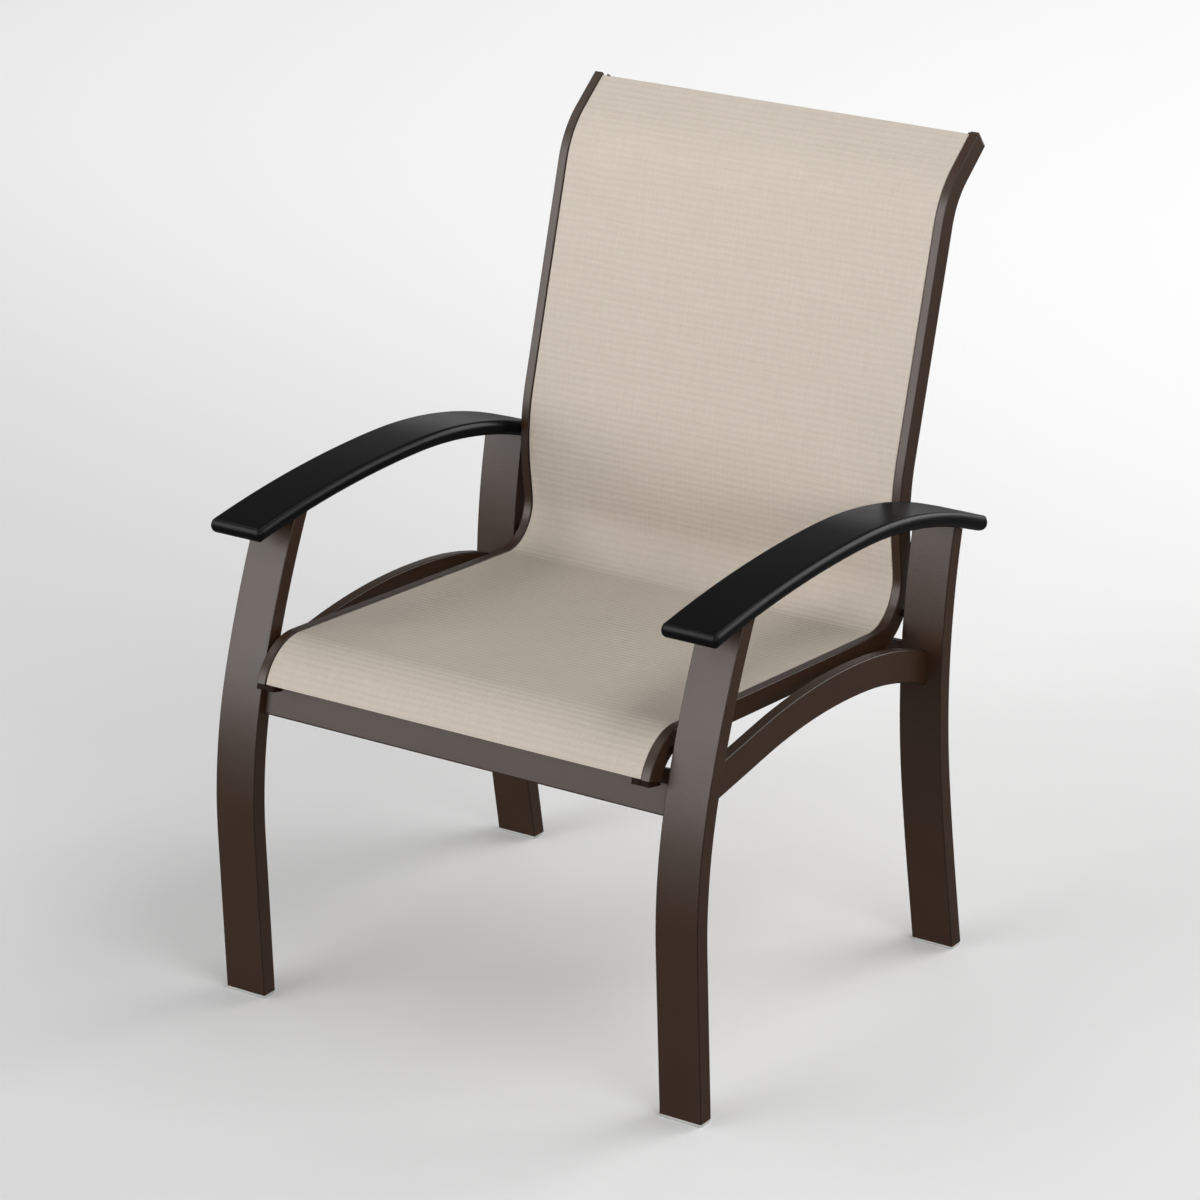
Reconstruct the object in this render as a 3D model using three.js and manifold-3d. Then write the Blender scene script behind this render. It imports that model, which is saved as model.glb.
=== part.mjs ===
// Sling patio chair: four bent flat-tube legs, arched side rails, moulded armrests, and one
// sling stretched between two S-shaped rails that hang inside the legs.
//
// Millimetres, +Z up, +X to the sitter's left. The chair faces -Y and stands on Z = 0.
// Nearly every piece follows a route drawn in the side view (Y, Z). A section lies square to
// its route: x goes across the chair, and depth goes from the piece's show face to its back.

import * as THREE from 'three';
import { mergeVertices } from 'three/addons/utils/BufferGeometryUtils.js';
import Module from 'manifold-3d';

// Stance
const legSpacing = 572; // between the centre lines of the left and right legs
const footSpacing = 531.8; // between the front faces of the front and rear feet
const seatHeight = 381.46; // near the seat's front edge, which the other heights follow

// Foot glides
const glideHeight = 4;
const glideInset = 0.5; // of the sole behind the leg's faces
const glidePlugLength = 12;

// Legs
const legWidth = 52;
const legDepth = 20;
const legWall = 2;
const legArris = 1.2;
const frontLegLean = 2.7; // degrees, forwards, from the foot to the knee
const frontLegStraight = 187.4;
const frontLegKneeRadius = 563;
const frontLegKneeTurn = 19;
const frontLegUpperRadius = 1132;
const frontLegUpperTurn = 14;
const rearLegLean = 10.15; // degrees, forwards, from the foot to the waist
const rearLegStraight = 90.2;
const rearLegWaistRadius = 2649;
const rearLegWaistTurn = 2.64;
const rearLegUpperRadius = 841;
const rearLegUpperTurn = 25;

// Cross rails between the legs
const crossRailHeight = 49.5;
const crossRailThickness = 9.5;
const crossRailWall = 2;
const crossRailArris = 1.6;
const frontCrossRailSetback = 8.9; // of its front face behind the leg's
const frontCrossRailDrop = 45.46; // of its lower edge's place along the leg, below the seat height
const frontCrossRailTilt = 13; // degrees, backwards
const rearCrossRailSetback = 4.75;
const rearCrossRailDrop = 56.96;
const rearCrossRailTilt = 0;

// Arched side rails
const sideRailWidth = 12.7;
const sideRailHeight = 37;
const sideRailWall = 2;
const sideRailArris = 1.6;
const sideRailTuck = 16; // from the foot's front face back to the start of the rail's route
const sideRailDrop = 4.1; // of the route's start below the seat height
const sideRailRise = 9.2; // degrees
const sideRailStraight = 135.7;
const sideRailCrownRadius = 790;
const sideRailCrownTurn = 16.05;
const sideRailFallRadius = 468;
const sideRailFallTurn = 24;

// Armrests
const armWidth = 68;
const armThickness = 17.8;
const armOutset = 2; // of the arm's centre line outside the leg's
const armBulgeWidth = 1.3; // of the edge past the top face
const armUnderRadius = 9; // of the long sides, under the edge
const armEndRadius = 8; // of the two ends, under the edge
const armTipLift = 168.94; // above the seat height
const armTipSetback = 4.9; // of the tip behind the front face of the foot
const armTipRise = 8.9; // degrees
const armFrontRadius = 1709;
const armFrontTurn = 9.9;
const armRearRadius = 705;
const armRearTurn = 19.7;
const armTailLength = 40;
const tenonLength = 26;
const tenonClearance = 0.4;

// Sling rails: a tube with the show face in front, and a channel for the hem beside it
const hangerGap = 8; // between the rails and the legs
const railFace = 11; // width of the show face
const railDepth = 24;
const railWall = 1.6;
const railArris = 1.2;
const channelReach = 12.4;
const channelTop = 2.1; // depth of its lip, which lies under the fabric
const channelDepth = 12;
const channelSlot = 1.7;
const slingNoseReach = 31.9; // of the rail's lower end in front of the cross rail's upper edge
const slingNoseDrop = 3.68; // below that edge
const slingNoseRise = 71.6; // degrees from level
const slingNoseRadius = 62.4;
const seatSlope = 4.1; // degrees, down towards the back
const seatLength = 396.3;
const seatBendRadius = 48.4;
const lumbarLean = 7.2; // degrees, forwards of upright
const lumbarStraight = 33.2;
const lumbarRadius = 250;
const backRecline = 15.7; // degrees from upright
const backLength = 260.6;
const shoulderRadius = 107.8;
const headRecline = 51.5; // degrees from upright
const headLength = 48;

// Sling fabric and the splines in its hems
const fabricThickness = 1;
const fabricDepth = 0.8; // of its front behind the show faces
const fabricEdgeGap = 0.35; // beside the show faces
const hemDepth = 4; // of the hem's front wall behind the show faces
const splineSize = 4.6;
const splineSides = 8;
const splineClearance = 0.3;
const splineProud = 2.5; // past the rail's upper end

// End caps of the sling rails
const topCapThickness = 2.5;
const bottomCapThickness = 6;
const bottomCapTongueDepth = 19.5; // of its back behind the show face
const bottomCapRadius = 4;
const capPlugLength = 10;
const capPlugClearance = 0.3;

// Stretcher bars between the sling rails, behind the channel
const stretcherHeight = 30;
const stretcherThickness = 5;
const stretcherDepth = 15.5; // of its front face behind the show faces
const stretcherArris = 1.5;
const stretcherTenon = 5; // into the rail
const stretcherShoulder = 0.8; // from the bar's faces to the tenon's
const backStretcherLift = 100; // above the start of the straight back
const seatStretcherSetback = 250; // behind the start of the flat seat

// Bolts and screws
const boltRadius = 2.4;
const boltTipChamfer = 0.6;
const boltHeadRadius = 4;
const boltHeadHeight = 2.6;
const boltClearance = 0.3;
const boltTipGap = 1; // left at the bottom of a blind hole
const railBoltDepth = 18.4; // behind the rail's show face
const railBoltSetback = 13.8; // behind the leg's front face
const railBoltBite = 8; // length inside the leg
const spacerRadius = 4.2;
const armScrewDrop = 13; // below the underside of the arm
const armScrewLength = 12;

// Clearances, overruns and fineness
const seam = 0.3; // between slanted or curved faces that meet
const overrun = 30; // of a cutting body past what it cuts
const chordError = 0.15; // between a bend and the straight faces that follow it
const mergeTolerance = 1e-5;
const roundSteps = 2;
const armSideSteps = 4;
const armEndSteps = 3;
const turnedSides = 16;
const searchSteps = 40;

// Shares of a bolt head's radius and height where its crown bends
const crownTopShare = 0.6;
const crownShoulderShare = 0.9;

const half = 0.5;
const upright = 90;
const quarterTurn = Math.PI * half;
const sides = { left: 1, right: -1 };

const powderCoat = { color: 0x3c2e25, roughness: 0.45, metalness: 0.3 };
const blackPolymer = { color: 0x18191a, roughness: 0.42, metalness: 0 };
const slingYarn = { color: 0xcdc1b2, roughness: 0.8, metalness: 0 };
const paleNylon = { color: 0xc4c6c6, roughness: 0.4, metalness: 0 };
const darkNylon = { color: 0x2a201b, roughness: 0.55, metalness: 0 };
const zincSteel = { color: 0x8d8f92, roughness: 0.35, metalness: 0.9 };

// A route in the side view: straights and bends joined end to end

class Route {
  constructor(y, z, heading) {
    this.start = { y, z, heading: THREE.MathUtils.degToRad(heading) };
    this.runs = [];
    this.length = 0;
  }

  add(length, curvature) {
    const begin = this.runs.length ? this.at(this.length) : this.start;
    this.runs.push({ ...begin, from: this.length, length, curvature });
    this.length += length;
    return this;
  }

  straight(length) {
    return this.add(length, 0);
  }

  // A positive turn goes from +Y towards +Z
  bend(radius, turn) {
    return this.add(radius * THREE.MathUtils.degToRad(Math.abs(turn)), Math.sign(turn) / radius);
  }

  joint(index) {
    return this.runs[index].from;
  }

  // The place and heading at a distance s. Past either end, the end run carries on.
  at(s) {
    const run = this.runs.findLast((one) => one.from <= s) ?? this.runs[0];
    const t = s - run.from;
    const heading = run.heading + run.curvature * t;
    if (run.curvature === 0) {
      return { y: run.y + Math.cos(heading) * t, z: run.z + Math.sin(heading) * t, heading };
    }
    return {
      y: run.y + (Math.sin(heading) - Math.sin(run.heading)) / run.curvature,
      z: run.z + (Math.cos(run.heading) - Math.cos(heading)) / run.curvature,
      heading,
    };
  }

  point(s, depth) {
    const { y, z, heading } = this.at(s);
    return new THREE.Vector2(y + Math.sin(heading) * depth, z - Math.cos(heading) * depth);
  }

  // The direction that depth is measured in, as a vector of the chair
  inward(s) {
    const { heading } = this.at(s);
    return new THREE.Vector3(0, Math.sin(heading), -Math.cos(heading));
  }

  spot(x, s, depth) {
    const { x: y, y: z } = this.point(s, depth);
    return new THREE.Vector3(x, y, z);
  }

  // The distances that a faceted piece needs: its ends, the joints between runs, and points on
  // each bend that keep the chords within chordError of the arc
  stations(from, to) {
    const marks = [];
    this.runs.forEach((run, index) => {
      const low = index === 0 ? from : Math.max(from, run.from);
      const high = index === this.runs.length - 1 ? to : Math.min(to, run.from + run.length);
      if (high <= low) return;
      const chord = Math.sqrt((8 * chordError) / Math.abs(run.curvature));
      const pieces = Math.ceil((high - low) / chord) || 1;
      for (let piece = 0; piece < pieces; piece += 1) {
        marks.push(low + ((high - low) * piece) / pieces);
      }
    });
    return [...marks, to];
  }

  // How deep a point lies behind this route
  depthOf(spot) {
    let low = -overrun;
    let high = this.length + overrun;
    const gap = (s) => this.point(s, 0).distanceTo(spot);
    for (let step = 0; step < searchSteps; step += 1) {
      const third = (high - low) / 3;
      if (gap(low + third) < gap(high - third)) high -= third;
      else low += third;
    }
    const { y, z, heading } = this.at(low);
    return (spot.x - y) * Math.sin(heading) - (spot.y - z) * Math.cos(heading);
  }

  // The distance between from and to where this route's line at one depth crosses another's
  meet(depth, other, otherDepth, from, to) {
    const side = (s) => Math.sign(other.depthOf(this.point(s, depth)) - otherDepth);
    let low = from;
    let high = to;
    for (let step = 0; step < searchSteps; step += 1) {
      const middle = (low + high) * half;
      if (side(middle) === side(from)) low = middle;
      else high = middle;
    }
    return low;
  }
}

// The edge of a section, from its near face to its far face: how far each point stands in
// from the section's side, and its depth

const squareEdge = (near, far) => [
  { inset: 0, depth: near },
  { inset: 0, depth: far },
];

// A quarter of an ellipse that leaves the near face, or one that runs into the far face
function quarterRound(inset, from, to, steps, leaving) {
  return Array.from({ length: steps + 1 }, (_, step) => {
    const angle = (quarterTurn * step) / steps;
    const share = leaving ? Math.sin(angle) : Math.cos(angle);
    const fall = leaving ? 1 - Math.cos(angle) : Math.sin(angle);
    return { inset: inset * (1 - share), depth: from + (to - from) * fall };
  });
}

const roundEdge = (near, far, radius) => [
  ...quarterRound(radius, near, near + radius, roundSteps, true),
  ...quarterRound(radius, far - radius, far, roundSteps, false),
];

// An outline across the chair between two x, and one along a route between two distances

function across(x0, x1, edge) {
  const low = Math.min(x0, x1);
  const high = Math.max(x0, x1);
  const back = [...edge].reverse();
  return [
    ...edge.map(({ inset, depth }) => new THREE.Vector2(high - inset, depth)),
    ...back.map(({ inset, depth }) => new THREE.Vector2(low + inset, depth)),
  ];
}

function along(route, from, to, edge) {
  const face = ({ inset, depth }) => route
    .stations(from + inset, to - inset)
    .map((s) => route.point(s, depth));
  const middle = edge.slice(1, -1);
  return [
    ...face(edge[0]),
    ...middle.map(({ inset, depth }) => route.point(to - inset, depth)),
    ...face(edge.at(-1)).reverse(),
    ...middle.reverse().map(({ inset, depth }) => route.point(from + inset, depth)),
  ];
}

// A shape whose holes run against its outline, as an extrusion needs them
function outline(points, ...holes) {
  const shape = new THREE.Shape(points);
  const clockwise = THREE.ShapeUtils.isClockWise(points);
  shape.holes = holes.map((hole) => {
    const alike = THREE.ShapeUtils.isClockWise(hole) === clockwise;
    return new THREE.Path(alike ? hole.reverse() : hole);
  });
  return shape;
}

// Solids

const wasm = await Module();
wasm.setup();

function toSolid(geometry) {
  geometry.deleteAttribute('normal');
  geometry.deleteAttribute('uv');
  const merged = mergeVertices(geometry, mergeTolerance);
  const corners = [];
  for (let first = 0; first < merged.index.count; first += 3) {
    const [a, b, c] = merged.index.array.slice(first, first + 3);
    if (a !== b && b !== c && c !== a) corners.push(a, b, c);
  }
  return new wasm.Manifold(new wasm.Mesh({
    numProp: 3,
    vertProperties: new Float32Array(merged.attributes.position.array),
    triVerts: new Uint32Array(corners),
  }));
}

function toGeometry(solid) {
  const mesh = solid.getMesh();
  const geometry = new THREE.BufferGeometry();
  geometry.setAttribute('position', new THREE.BufferAttribute(mesh.vertProperties, 3));
  geometry.setIndex(new THREE.BufferAttribute(mesh.triVerts, 1));
  geometry.computeVertexNormals();
  return geometry;
}

// A section carried along a route
function sweep(shape, route, from, to) {
  const marks = route.stations(from, to);
  const steps = marks.length - 1;
  const geometry = new THREE.ExtrudeGeometry(shape, { depth: steps, steps, bevelEnabled: false });
  const { position } = geometry.attributes;
  for (let index = 0; index < position.count; index += 1) {
    const s = marks[Math.round(position.getZ(index))];
    const { x: y, y: z } = route.point(s, position.getY(index));
    position.setXYZ(index, position.getX(index), y, z);
  }
  return toSolid(geometry);
}

// An outline of the side view, thickened from one x to another
function slab(shape, x0, x1) {
  const sideView = new THREE.Matrix4().set(0, 0, 1, 0, 1, 0, 0, 0, 0, 1, 0, 0, 0, 0, 0, 1);
  const geometry = new THREE.ExtrudeGeometry(shape, { depth: Math.abs(x1 - x0), bevelEnabled: false });
  geometry.translate(0, 0, Math.min(x0, x1));
  return toSolid(geometry.applyMatrix4(sideView));
}

// A turned piece: radii and places along its axis, which starts at base and has a direction
function turned(profile, base, direction) {
  const points = profile.map(([radius, place]) => new THREE.Vector2(radius, place));
  const geometry = new THREE.LatheGeometry(points, turnedSides);
  const up = new THREE.Vector3(0, 1, 0);
  geometry.applyQuaternion(new THREE.Quaternion().setFromUnitVectors(up, direction));
  geometry.translate(base.x, base.y, base.z);
  return toSolid(geometry);
}

const rod = (radius, base, direction, from, to) => turned(
  [[0, from], [radius, from], [radius, to], [0, to]],
  base,
  direction,
);

// A round-headed bolt whose head rests on base and whose shank runs along the direction
const bolt = (base, direction, length) => turned([
  [0, -boltHeadHeight],
  [boltHeadRadius * crownTopShare, -boltHeadHeight],
  [boltHeadRadius * crownShoulderShare, -boltHeadHeight * crownTopShare],
  [boltHeadRadius, 0],
  [boltRadius, 0],
  [boltRadius, length - boltTipChamfer],
  [boltRadius - boltTipChamfer, length],
  [0, length],
], base, direction);

// Routes of the pieces

const footFront = -footSpacing * half;

const frontLeg = new Route(footFront, glideHeight, upright + frontLegLean)
  .straight(frontLegStraight)
  .bend(frontLegKneeRadius, -frontLegKneeTurn)
  .bend(frontLegUpperRadius, -frontLegUpperTurn);

const rearLeg = new Route(footFront + footSpacing, glideHeight, upright + rearLegLean)
  .straight(rearLegStraight)
  .bend(rearLegWaistRadius, -rearLegWaistTurn)
  .bend(rearLegUpperRadius, -rearLegUpperTurn);

const sideRail = new Route(footFront + sideRailTuck, seatHeight - sideRailDrop, sideRailRise)
  .straight(sideRailStraight)
  .bend(sideRailCrownRadius, -sideRailCrownTurn)
  .bend(sideRailFallRadius, -sideRailFallTurn);

function crossRailFace(leg, drop, setback, tilt) {
  const foot = leg.point(seatHeight - drop, setback);
  return new Route(foot.x, foot.y, upright - tilt).straight(crossRailHeight);
}

const frontCrossRail = crossRailFace(
  frontLeg,
  frontCrossRailDrop,
  frontCrossRailSetback,
  frontCrossRailTilt,
);
const rearCrossRail = crossRailFace(
  rearLeg,
  rearCrossRailDrop,
  rearCrossRailSetback,
  rearCrossRailTilt,
);

const arm = new Route(footFront + armTipSetback, seatHeight + armTipLift, armTipRise)
  .bend(armFrontRadius, -armFrontTurn)
  .bend(armRearRadius, -armRearTurn)
  .straight(armTailLength);

const railEdge = frontCrossRail.point(crossRailHeight, 0);
const sling = new Route(railEdge.x - slingNoseReach, railEdge.y - slingNoseDrop, slingNoseRise)
  .bend(slingNoseRadius, -slingNoseRise - seatSlope)
  .straight(seatLength)
  .bend(seatBendRadius, seatSlope + upright + lumbarLean)
  .straight(lumbarStraight)
  .bend(lumbarRadius, -lumbarLean - backRecline)
  .straight(backLength)
  .bend(shoulderRadius, backRecline - headRecline)
  .straight(headLength);

// Places across the chair

const legCentre = legSpacing * half;
const legInside = legCentre - legWidth * half;
const slingFaceInset = legInside - hangerGap - railFace; // of the show faces' inner edges
const armCentre = legCentre + armOutset;
const wide = armCentre + armWidth;
const railOutside = slingFaceInset + railFace;
const sheetEdge = slingFaceInset - fabricEdgeGap;
const onRail = (side, reach) => side * (slingFaceInset + reach);

// Bolts that hang the sling rails on the legs, where the two cross in the side view

const railBolt = (end, leg, from, to) => ({
  end,
  leg,
  s: sling.meet(railBoltDepth, leg, railBoltSetback, from, to),
});
const railBolts = [
  railBolt('front', frontLeg, 0, sling.joint(1)),
  railBolt('rear', rearLeg, sling.joint(2), sling.joint(3)),
];
const railBoltDrill = (side, s) => rod(
  boltRadius + boltClearance,
  sling.spot(onRail(side, 0), s, railBoltDepth),
  new THREE.Vector3(side, 0, 0),
  -boltHeadHeight,
  legInside - slingFaceInset + railBoltBite + boltTipGap,
);

// Screws that hold the arms' tenons, a little below the arm in the back of each leg

const armScrew = (end, leg) => ({
  end,
  leg,
  s: leg.meet(legDepth, arm, armThickness, leg.length * half, leg.length) - armScrewDrop,
});
const armScrews = [armScrew('front', frontLeg), armScrew('rear', rearLeg)];
const armScrewDrill = (side, { leg, s }) => rod(
  boltRadius + boltClearance,
  leg.spot(side * legCentre, s, legDepth),
  leg.inward(s).negate(),
  -overrun,
  armScrewLength + boltTipGap,
);

// Regions that trim the frame's tubes

function layer(low, high) {
  const spread = 2 * (legSpacing + footSpacing);
  const geometry = new THREE.BoxGeometry(spread, spread, high - low);
  geometry.translate(0, 0, (low + high) * half);
  return toSolid(geometry);
}

function underArm() {
  const underside = arm
    .stations(-overrun, arm.length + overrun)
    .map((s) => arm.point(s, armThickness + seam));
  const feet = [underside.at(-1), underside[0]].map(({ x: y }) => new THREE.Vector2(y, 0));
  return slab(outline([...underside, ...feet]), -wide, wide);
}

function betweenLegs() {
  const line = (leg, depth) => leg.stations(0, leg.length).map((s) => leg.point(s, depth));
  const front = line(frontLeg, legDepth + seam);
  const rear = line(rearLeg, -seam);
  return slab(outline([...front, ...rear.reverse()]), -wide, wide);
}

// Legs: flat tubes, open under the arm and over the glide

function makeLeg(leg, side, screw, { s }) {
  const x = side * legCentre;
  const edge = legWidth * half;
  const section = outline(
    across(x - edge, x + edge, roundEdge(0, legDepth, legArris)),
    across(x - edge + legWall, x + edge - legWall, squareEdge(legWall, legDepth - legWall)),
  );
  return sweep(section, leg, -overrun, leg.length + overrun)
    .intersect(underArm())
    .intersect(layer(glideHeight, 2 * (seatHeight + armTipLift)))
    .subtract(armScrewDrill(side, screw))
    .subtract(railBoltDrill(side, s));
}

// Foot glides: a sole a little smaller than the leg, and a plug that presses into it

function makeGlide(leg, side) {
  const x = side * legCentre;
  const block = (inset, top) => sweep(
    outline(across(
      x - legWidth * half + inset,
      x + legWidth * half - inset,
      squareEdge(inset, legDepth - inset),
    )),
    leg,
    -overrun,
    glidePlugLength + overrun,
  ).intersect(layer(0, top));
  return block(glideInset, glideHeight)
    .add(block(legWall + tenonClearance, glideHeight + glidePlugLength));
}

// Cross rails: flat tubes that butt against the inner faces of the legs

function makeCrossRail(rail) {
  const wall = crossRailWall;
  const shape = outline(
    along(rail, 0, crossRailHeight, roundEdge(0, crossRailThickness, crossRailArris)),
    along(rail, wall, crossRailHeight - wall, squareEdge(wall, crossRailThickness - wall)),
  );
  return slab(shape, -legInside, legInside);
}

// Side rails: arched flat tubes, cut to the curved faces of the legs

function makeSideRail(side) {
  const x = side * legCentre;
  const edge = sideRailWidth * half;
  const wall = sideRailWall;
  const section = outline(
    across(x - edge, x + edge, roundEdge(0, sideRailHeight, sideRailArris)),
    across(x - edge + wall, x + edge - wall, squareEdge(wall, sideRailHeight - wall)),
  );
  return sweep(section, sideRail, -overrun, sideRail.length + overrun).intersect(betweenLegs());
}

// Armrests: solid mouldings whose rounded edge runs all the way round and meets in a mitre at
// each corner, with a tenon for the top of each leg

function armEdge(underRound, steps) {
  const crease = armThickness - underRound;
  return [
    ...quarterRound(armBulgeWidth, 0, crease, steps, true),
    ...quarterRound(underRound, crease, armThickness, steps, false).slice(1),
  ];
}

// An edge whose first and last facets run on past the faces, so that it cuts right through
function lengthen(edge) {
  const beyond = (tip, before) => ({
    inset: 2 * tip.inset - before.inset,
    depth: 2 * tip.depth - before.depth,
  });
  return [beyond(edge[0], edge[1]), ...edge.slice(1, -1), beyond(edge.at(-1), edge.at(-2))];
}

function makeArmrest(side) {
  const x = side * armCentre;
  const section = outline(across(
    x - armWidth * half,
    x + armWidth * half,
    armEdge(armUnderRadius, armSideSteps),
  ));
  const ends = outline(along(arm, 0, arm.length, lengthen(armEdge(armEndRadius, armEndSteps))));
  const board = sweep(section, arm, -overrun, arm.length + overrun).intersect(slab(ends, -wide, wide));
  const core = squareEdge(armThickness * half, armThickness + tenonLength);
  const reach = slab(outline(along(arm, 0, arm.length, core)), -wide, wide);
  const inset = legWall + tenonClearance;
  return armScrews.reduce((body, screw) => {
    const tenon = sweep(
      outline(across(
        side * legCentre - legWidth * half + inset,
        side * legCentre + legWidth * half - inset,
        squareEdge(inset, legDepth - inset),
      )),
      screw.leg,
      0,
      screw.leg.length + overrun,
    );
    return body.add(tenon.intersect(reach)).subtract(armScrewDrill(side, screw));
  }, board);
}

function makeArmScrew(side, { leg, s }) {
  const seat = leg.spot(side * legCentre, s, legDepth + seam);
  return bolt(seat, leg.inward(s).negate(), armScrewLength);
}

// Stretcher bars: each end has a tenon that enters a slot in the rail's inner wall

const stretchers = {
  seat: sling.joint(1) + seatStretcherSetback,
  back: sling.joint(5) + backStretcherLift,
};

function stretcherBar(s, inset, x0, x1) {
  const reach = stretcherHeight * half - inset;
  const edge = squareEdge(stretcherDepth + inset, stretcherDepth + stretcherThickness - inset);
  return slab(outline(along(sling, s - reach, s + reach, edge)), x0, x1);
}

function makeStretcher(s) {
  const reach = stretcherHeight * half;
  const edge = roundEdge(stretcherDepth, stretcherDepth + stretcherThickness, stretcherArris);
  const bar = slab(
    outline(along(sling, s - reach, s + reach, edge)),
    -slingFaceInset,
    slingFaceInset,
  );
  const tip = slingFaceInset + stretcherTenon;
  return bar.add(stretcherBar(s, stretcherShoulder, -tip, tip));
}

// Sling rails

function makeSlingRail(side) {
  const wall = railWall;
  const channelBottom = channelTop + channelDepth;
  const channel = [
    [0, channelBottom],
    [-channelReach, channelBottom],
    [-channelReach, channelTop],
    [-channelSlot, channelTop],
    [-channelSlot, channelTop + wall],
    [wall - channelReach, channelTop + wall],
    [wall - channelReach, channelBottom - wall],
    [0, channelBottom - wall],
  ].map(([reach, depth]) => new THREE.Vector2(reach, depth));
  const profile = across(0, railFace, roundEdge(0, railDepth, railArris));
  profile.splice(-(roundSteps + 1), 0, ...channel);
  const bore = across(wall, railFace - wall, squareEdge(wall, railDepth - wall));
  const [section, hollow] = [profile, bore].map(
    (points) => points.map(({ x, y }) => new THREE.Vector2(onRail(side, x), y)),
  );
  let rail = sweep(outline(section, hollow), sling, 0, sling.length);
  railBolts.forEach(({ s }) => {
    rail = rail.subtract(railBoltDrill(side, s));
  });
  Object.values(stretchers).forEach((s) => {
    const slot = stretcherBar(s, stretcherShoulder - seam, onRail(side, -wall), onRail(side, 2 * wall));
    rail = rail.subtract(slot);
  });
  return rail;
}

// Caps on the ends of the rails: a plate and a plug. The lower plates close the channels as well.

function capPlug(side, from, to) {
  const inset = railWall + capPlugClearance;
  const edge = squareEdge(inset, railDepth - inset);
  const section = across(onRail(side, inset), onRail(side, railFace - inset), edge);
  return sweep(outline(section), sling, from, to);
}

const capPlate = (side, from, to) => sweep(
  outline(across(onRail(side, 0), onRail(side, railFace), roundEdge(0, railDepth, railArris))),
  sling,
  from,
  to,
);

function makeTopCap(side) {
  const plateTop = sling.length + seam + topCapThickness;
  return capPlate(side, sling.length + seam, plateTop)
    .add(capPlug(side, sling.length - capPlugLength, plateTop - topCapThickness * half));
}

function makeBottomCap(side) {
  const plateBottom = -seam - bottomCapThickness;
  const edge = roundEdge(0, bottomCapTongueDepth, bottomCapRadius);
  const tongue = across(onRail(side, -channelReach), onRail(side, railFace * half), edge);
  return capPlate(side, plateBottom, -seam)
    .add(sweep(outline(tongue), sling, plateBottom, -seam))
    .add(capPlug(side, plateBottom + bottomCapThickness * half, capPlugLength));
}

// Sling fabric: a taut sheet whose edges turn down into the channels and end in a hem

const hemHole = splineSize + 2 * splineClearance;
const hemSize = hemHole + 2 * fabricThickness;

function makeFabric() {
  const hemBack = hemDepth + hemSize;
  const inside = sheetEdge - fabricThickness;
  const halfSection = [
    [sheetEdge, fabricDepth],
    [sheetEdge, hemBack],
    [sheetEdge - hemSize, hemBack],
    [sheetEdge - hemSize, hemDepth],
    [inside, hemDepth],
    [inside, fabricDepth + fabricThickness],
  ].map(([x, depth]) => new THREE.Vector2(x, depth));
  const mirrored = halfSection.map(({ x, y }) => new THREE.Vector2(-x, y)).reverse();
  const pocketEdge = squareEdge(hemDepth + fabricThickness, hemBack - fabricThickness);
  const pockets = Object.values(sides).map(
    (side) => across(side * inside, side * (inside - hemHole), pocketEdge),
  );
  return sweep(outline([...halfSection, ...mirrored], ...pockets), sling, 0, sling.length);
}

function makeSpline(side) {
  const x = side * (sheetEdge - hemSize * half);
  const depth = hemDepth + hemSize * half;
  const radius = (splineSize * half) / Math.cos(Math.PI / splineSides);
  const section = Array.from({ length: splineSides }, (_, corner) => {
    const angle = (2 * Math.PI * (corner + half)) / splineSides;
    return new THREE.Vector2(x + radius * Math.cos(angle), depth + radius * Math.sin(angle));
  });
  return sweep(outline(section), sling, 0, sling.length + splineProud);
}

// Spacers and bolts between the sling rails and the legs

function makeSpacer(side, { s }) {
  const base = sling.spot(side * railOutside, s, railBoltDepth);
  return rod(spacerRadius, base, new THREE.Vector3(side, 0, 0), 0, legInside - railOutside)
    .subtract(railBoltDrill(side, s));
}

function makeRailBolt(side, { s }) {
  const seat = sling.spot(onRail(side, 0), s, railBoltDepth);
  return bolt(seat, new THREE.Vector3(side, 0, 0), legInside - slingFaceInset + railBoltBite);
}

// The chair

const chair = new THREE.Group();
const frame = new THREE.Group();
const arms = new THREE.Group();
const seat = new THREE.Group();
chair.add(frame, arms, seat);

function place(group, name, solid, look) {
  const mesh = new THREE.Mesh(toGeometry(solid), new THREE.MeshStandardMaterial(look));
  mesh.name = name;
  group.add(mesh);
}

for (const [hand, side] of Object.entries(sides)) {
  [frontLeg, rearLeg].forEach((leg, index) => {
    const { end } = railBolts[index];
    place(frame, `${end}_leg_${hand}`, makeLeg(leg, side, armScrews[index], railBolts[index]), powderCoat);
    place(frame, `foot_glide_${end}_${hand}`, makeGlide(leg, side), paleNylon);
    place(arms, `arm_screw_${end}_${hand}`, makeArmScrew(side, armScrews[index]), zincSteel);
    place(seat, `rail_spacer_${end}_${hand}`, makeSpacer(side, railBolts[index]), powderCoat);
    place(seat, `rail_bolt_${end}_${hand}`, makeRailBolt(side, railBolts[index]), zincSteel);
  });
  place(frame, `side_rail_${hand}`, makeSideRail(side), powderCoat);
  place(arms, `armrest_${hand}`, makeArmrest(side), blackPolymer);
  place(seat, `sling_rail_${hand}`, makeSlingRail(side), powderCoat);
  place(seat, `rail_top_cap_${hand}`, makeTopCap(side), powderCoat);
  place(seat, `rail_bottom_cap_${hand}`, makeBottomCap(side), darkNylon);
  place(seat, `sling_spline_${hand}`, makeSpline(side), darkNylon);
}

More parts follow.
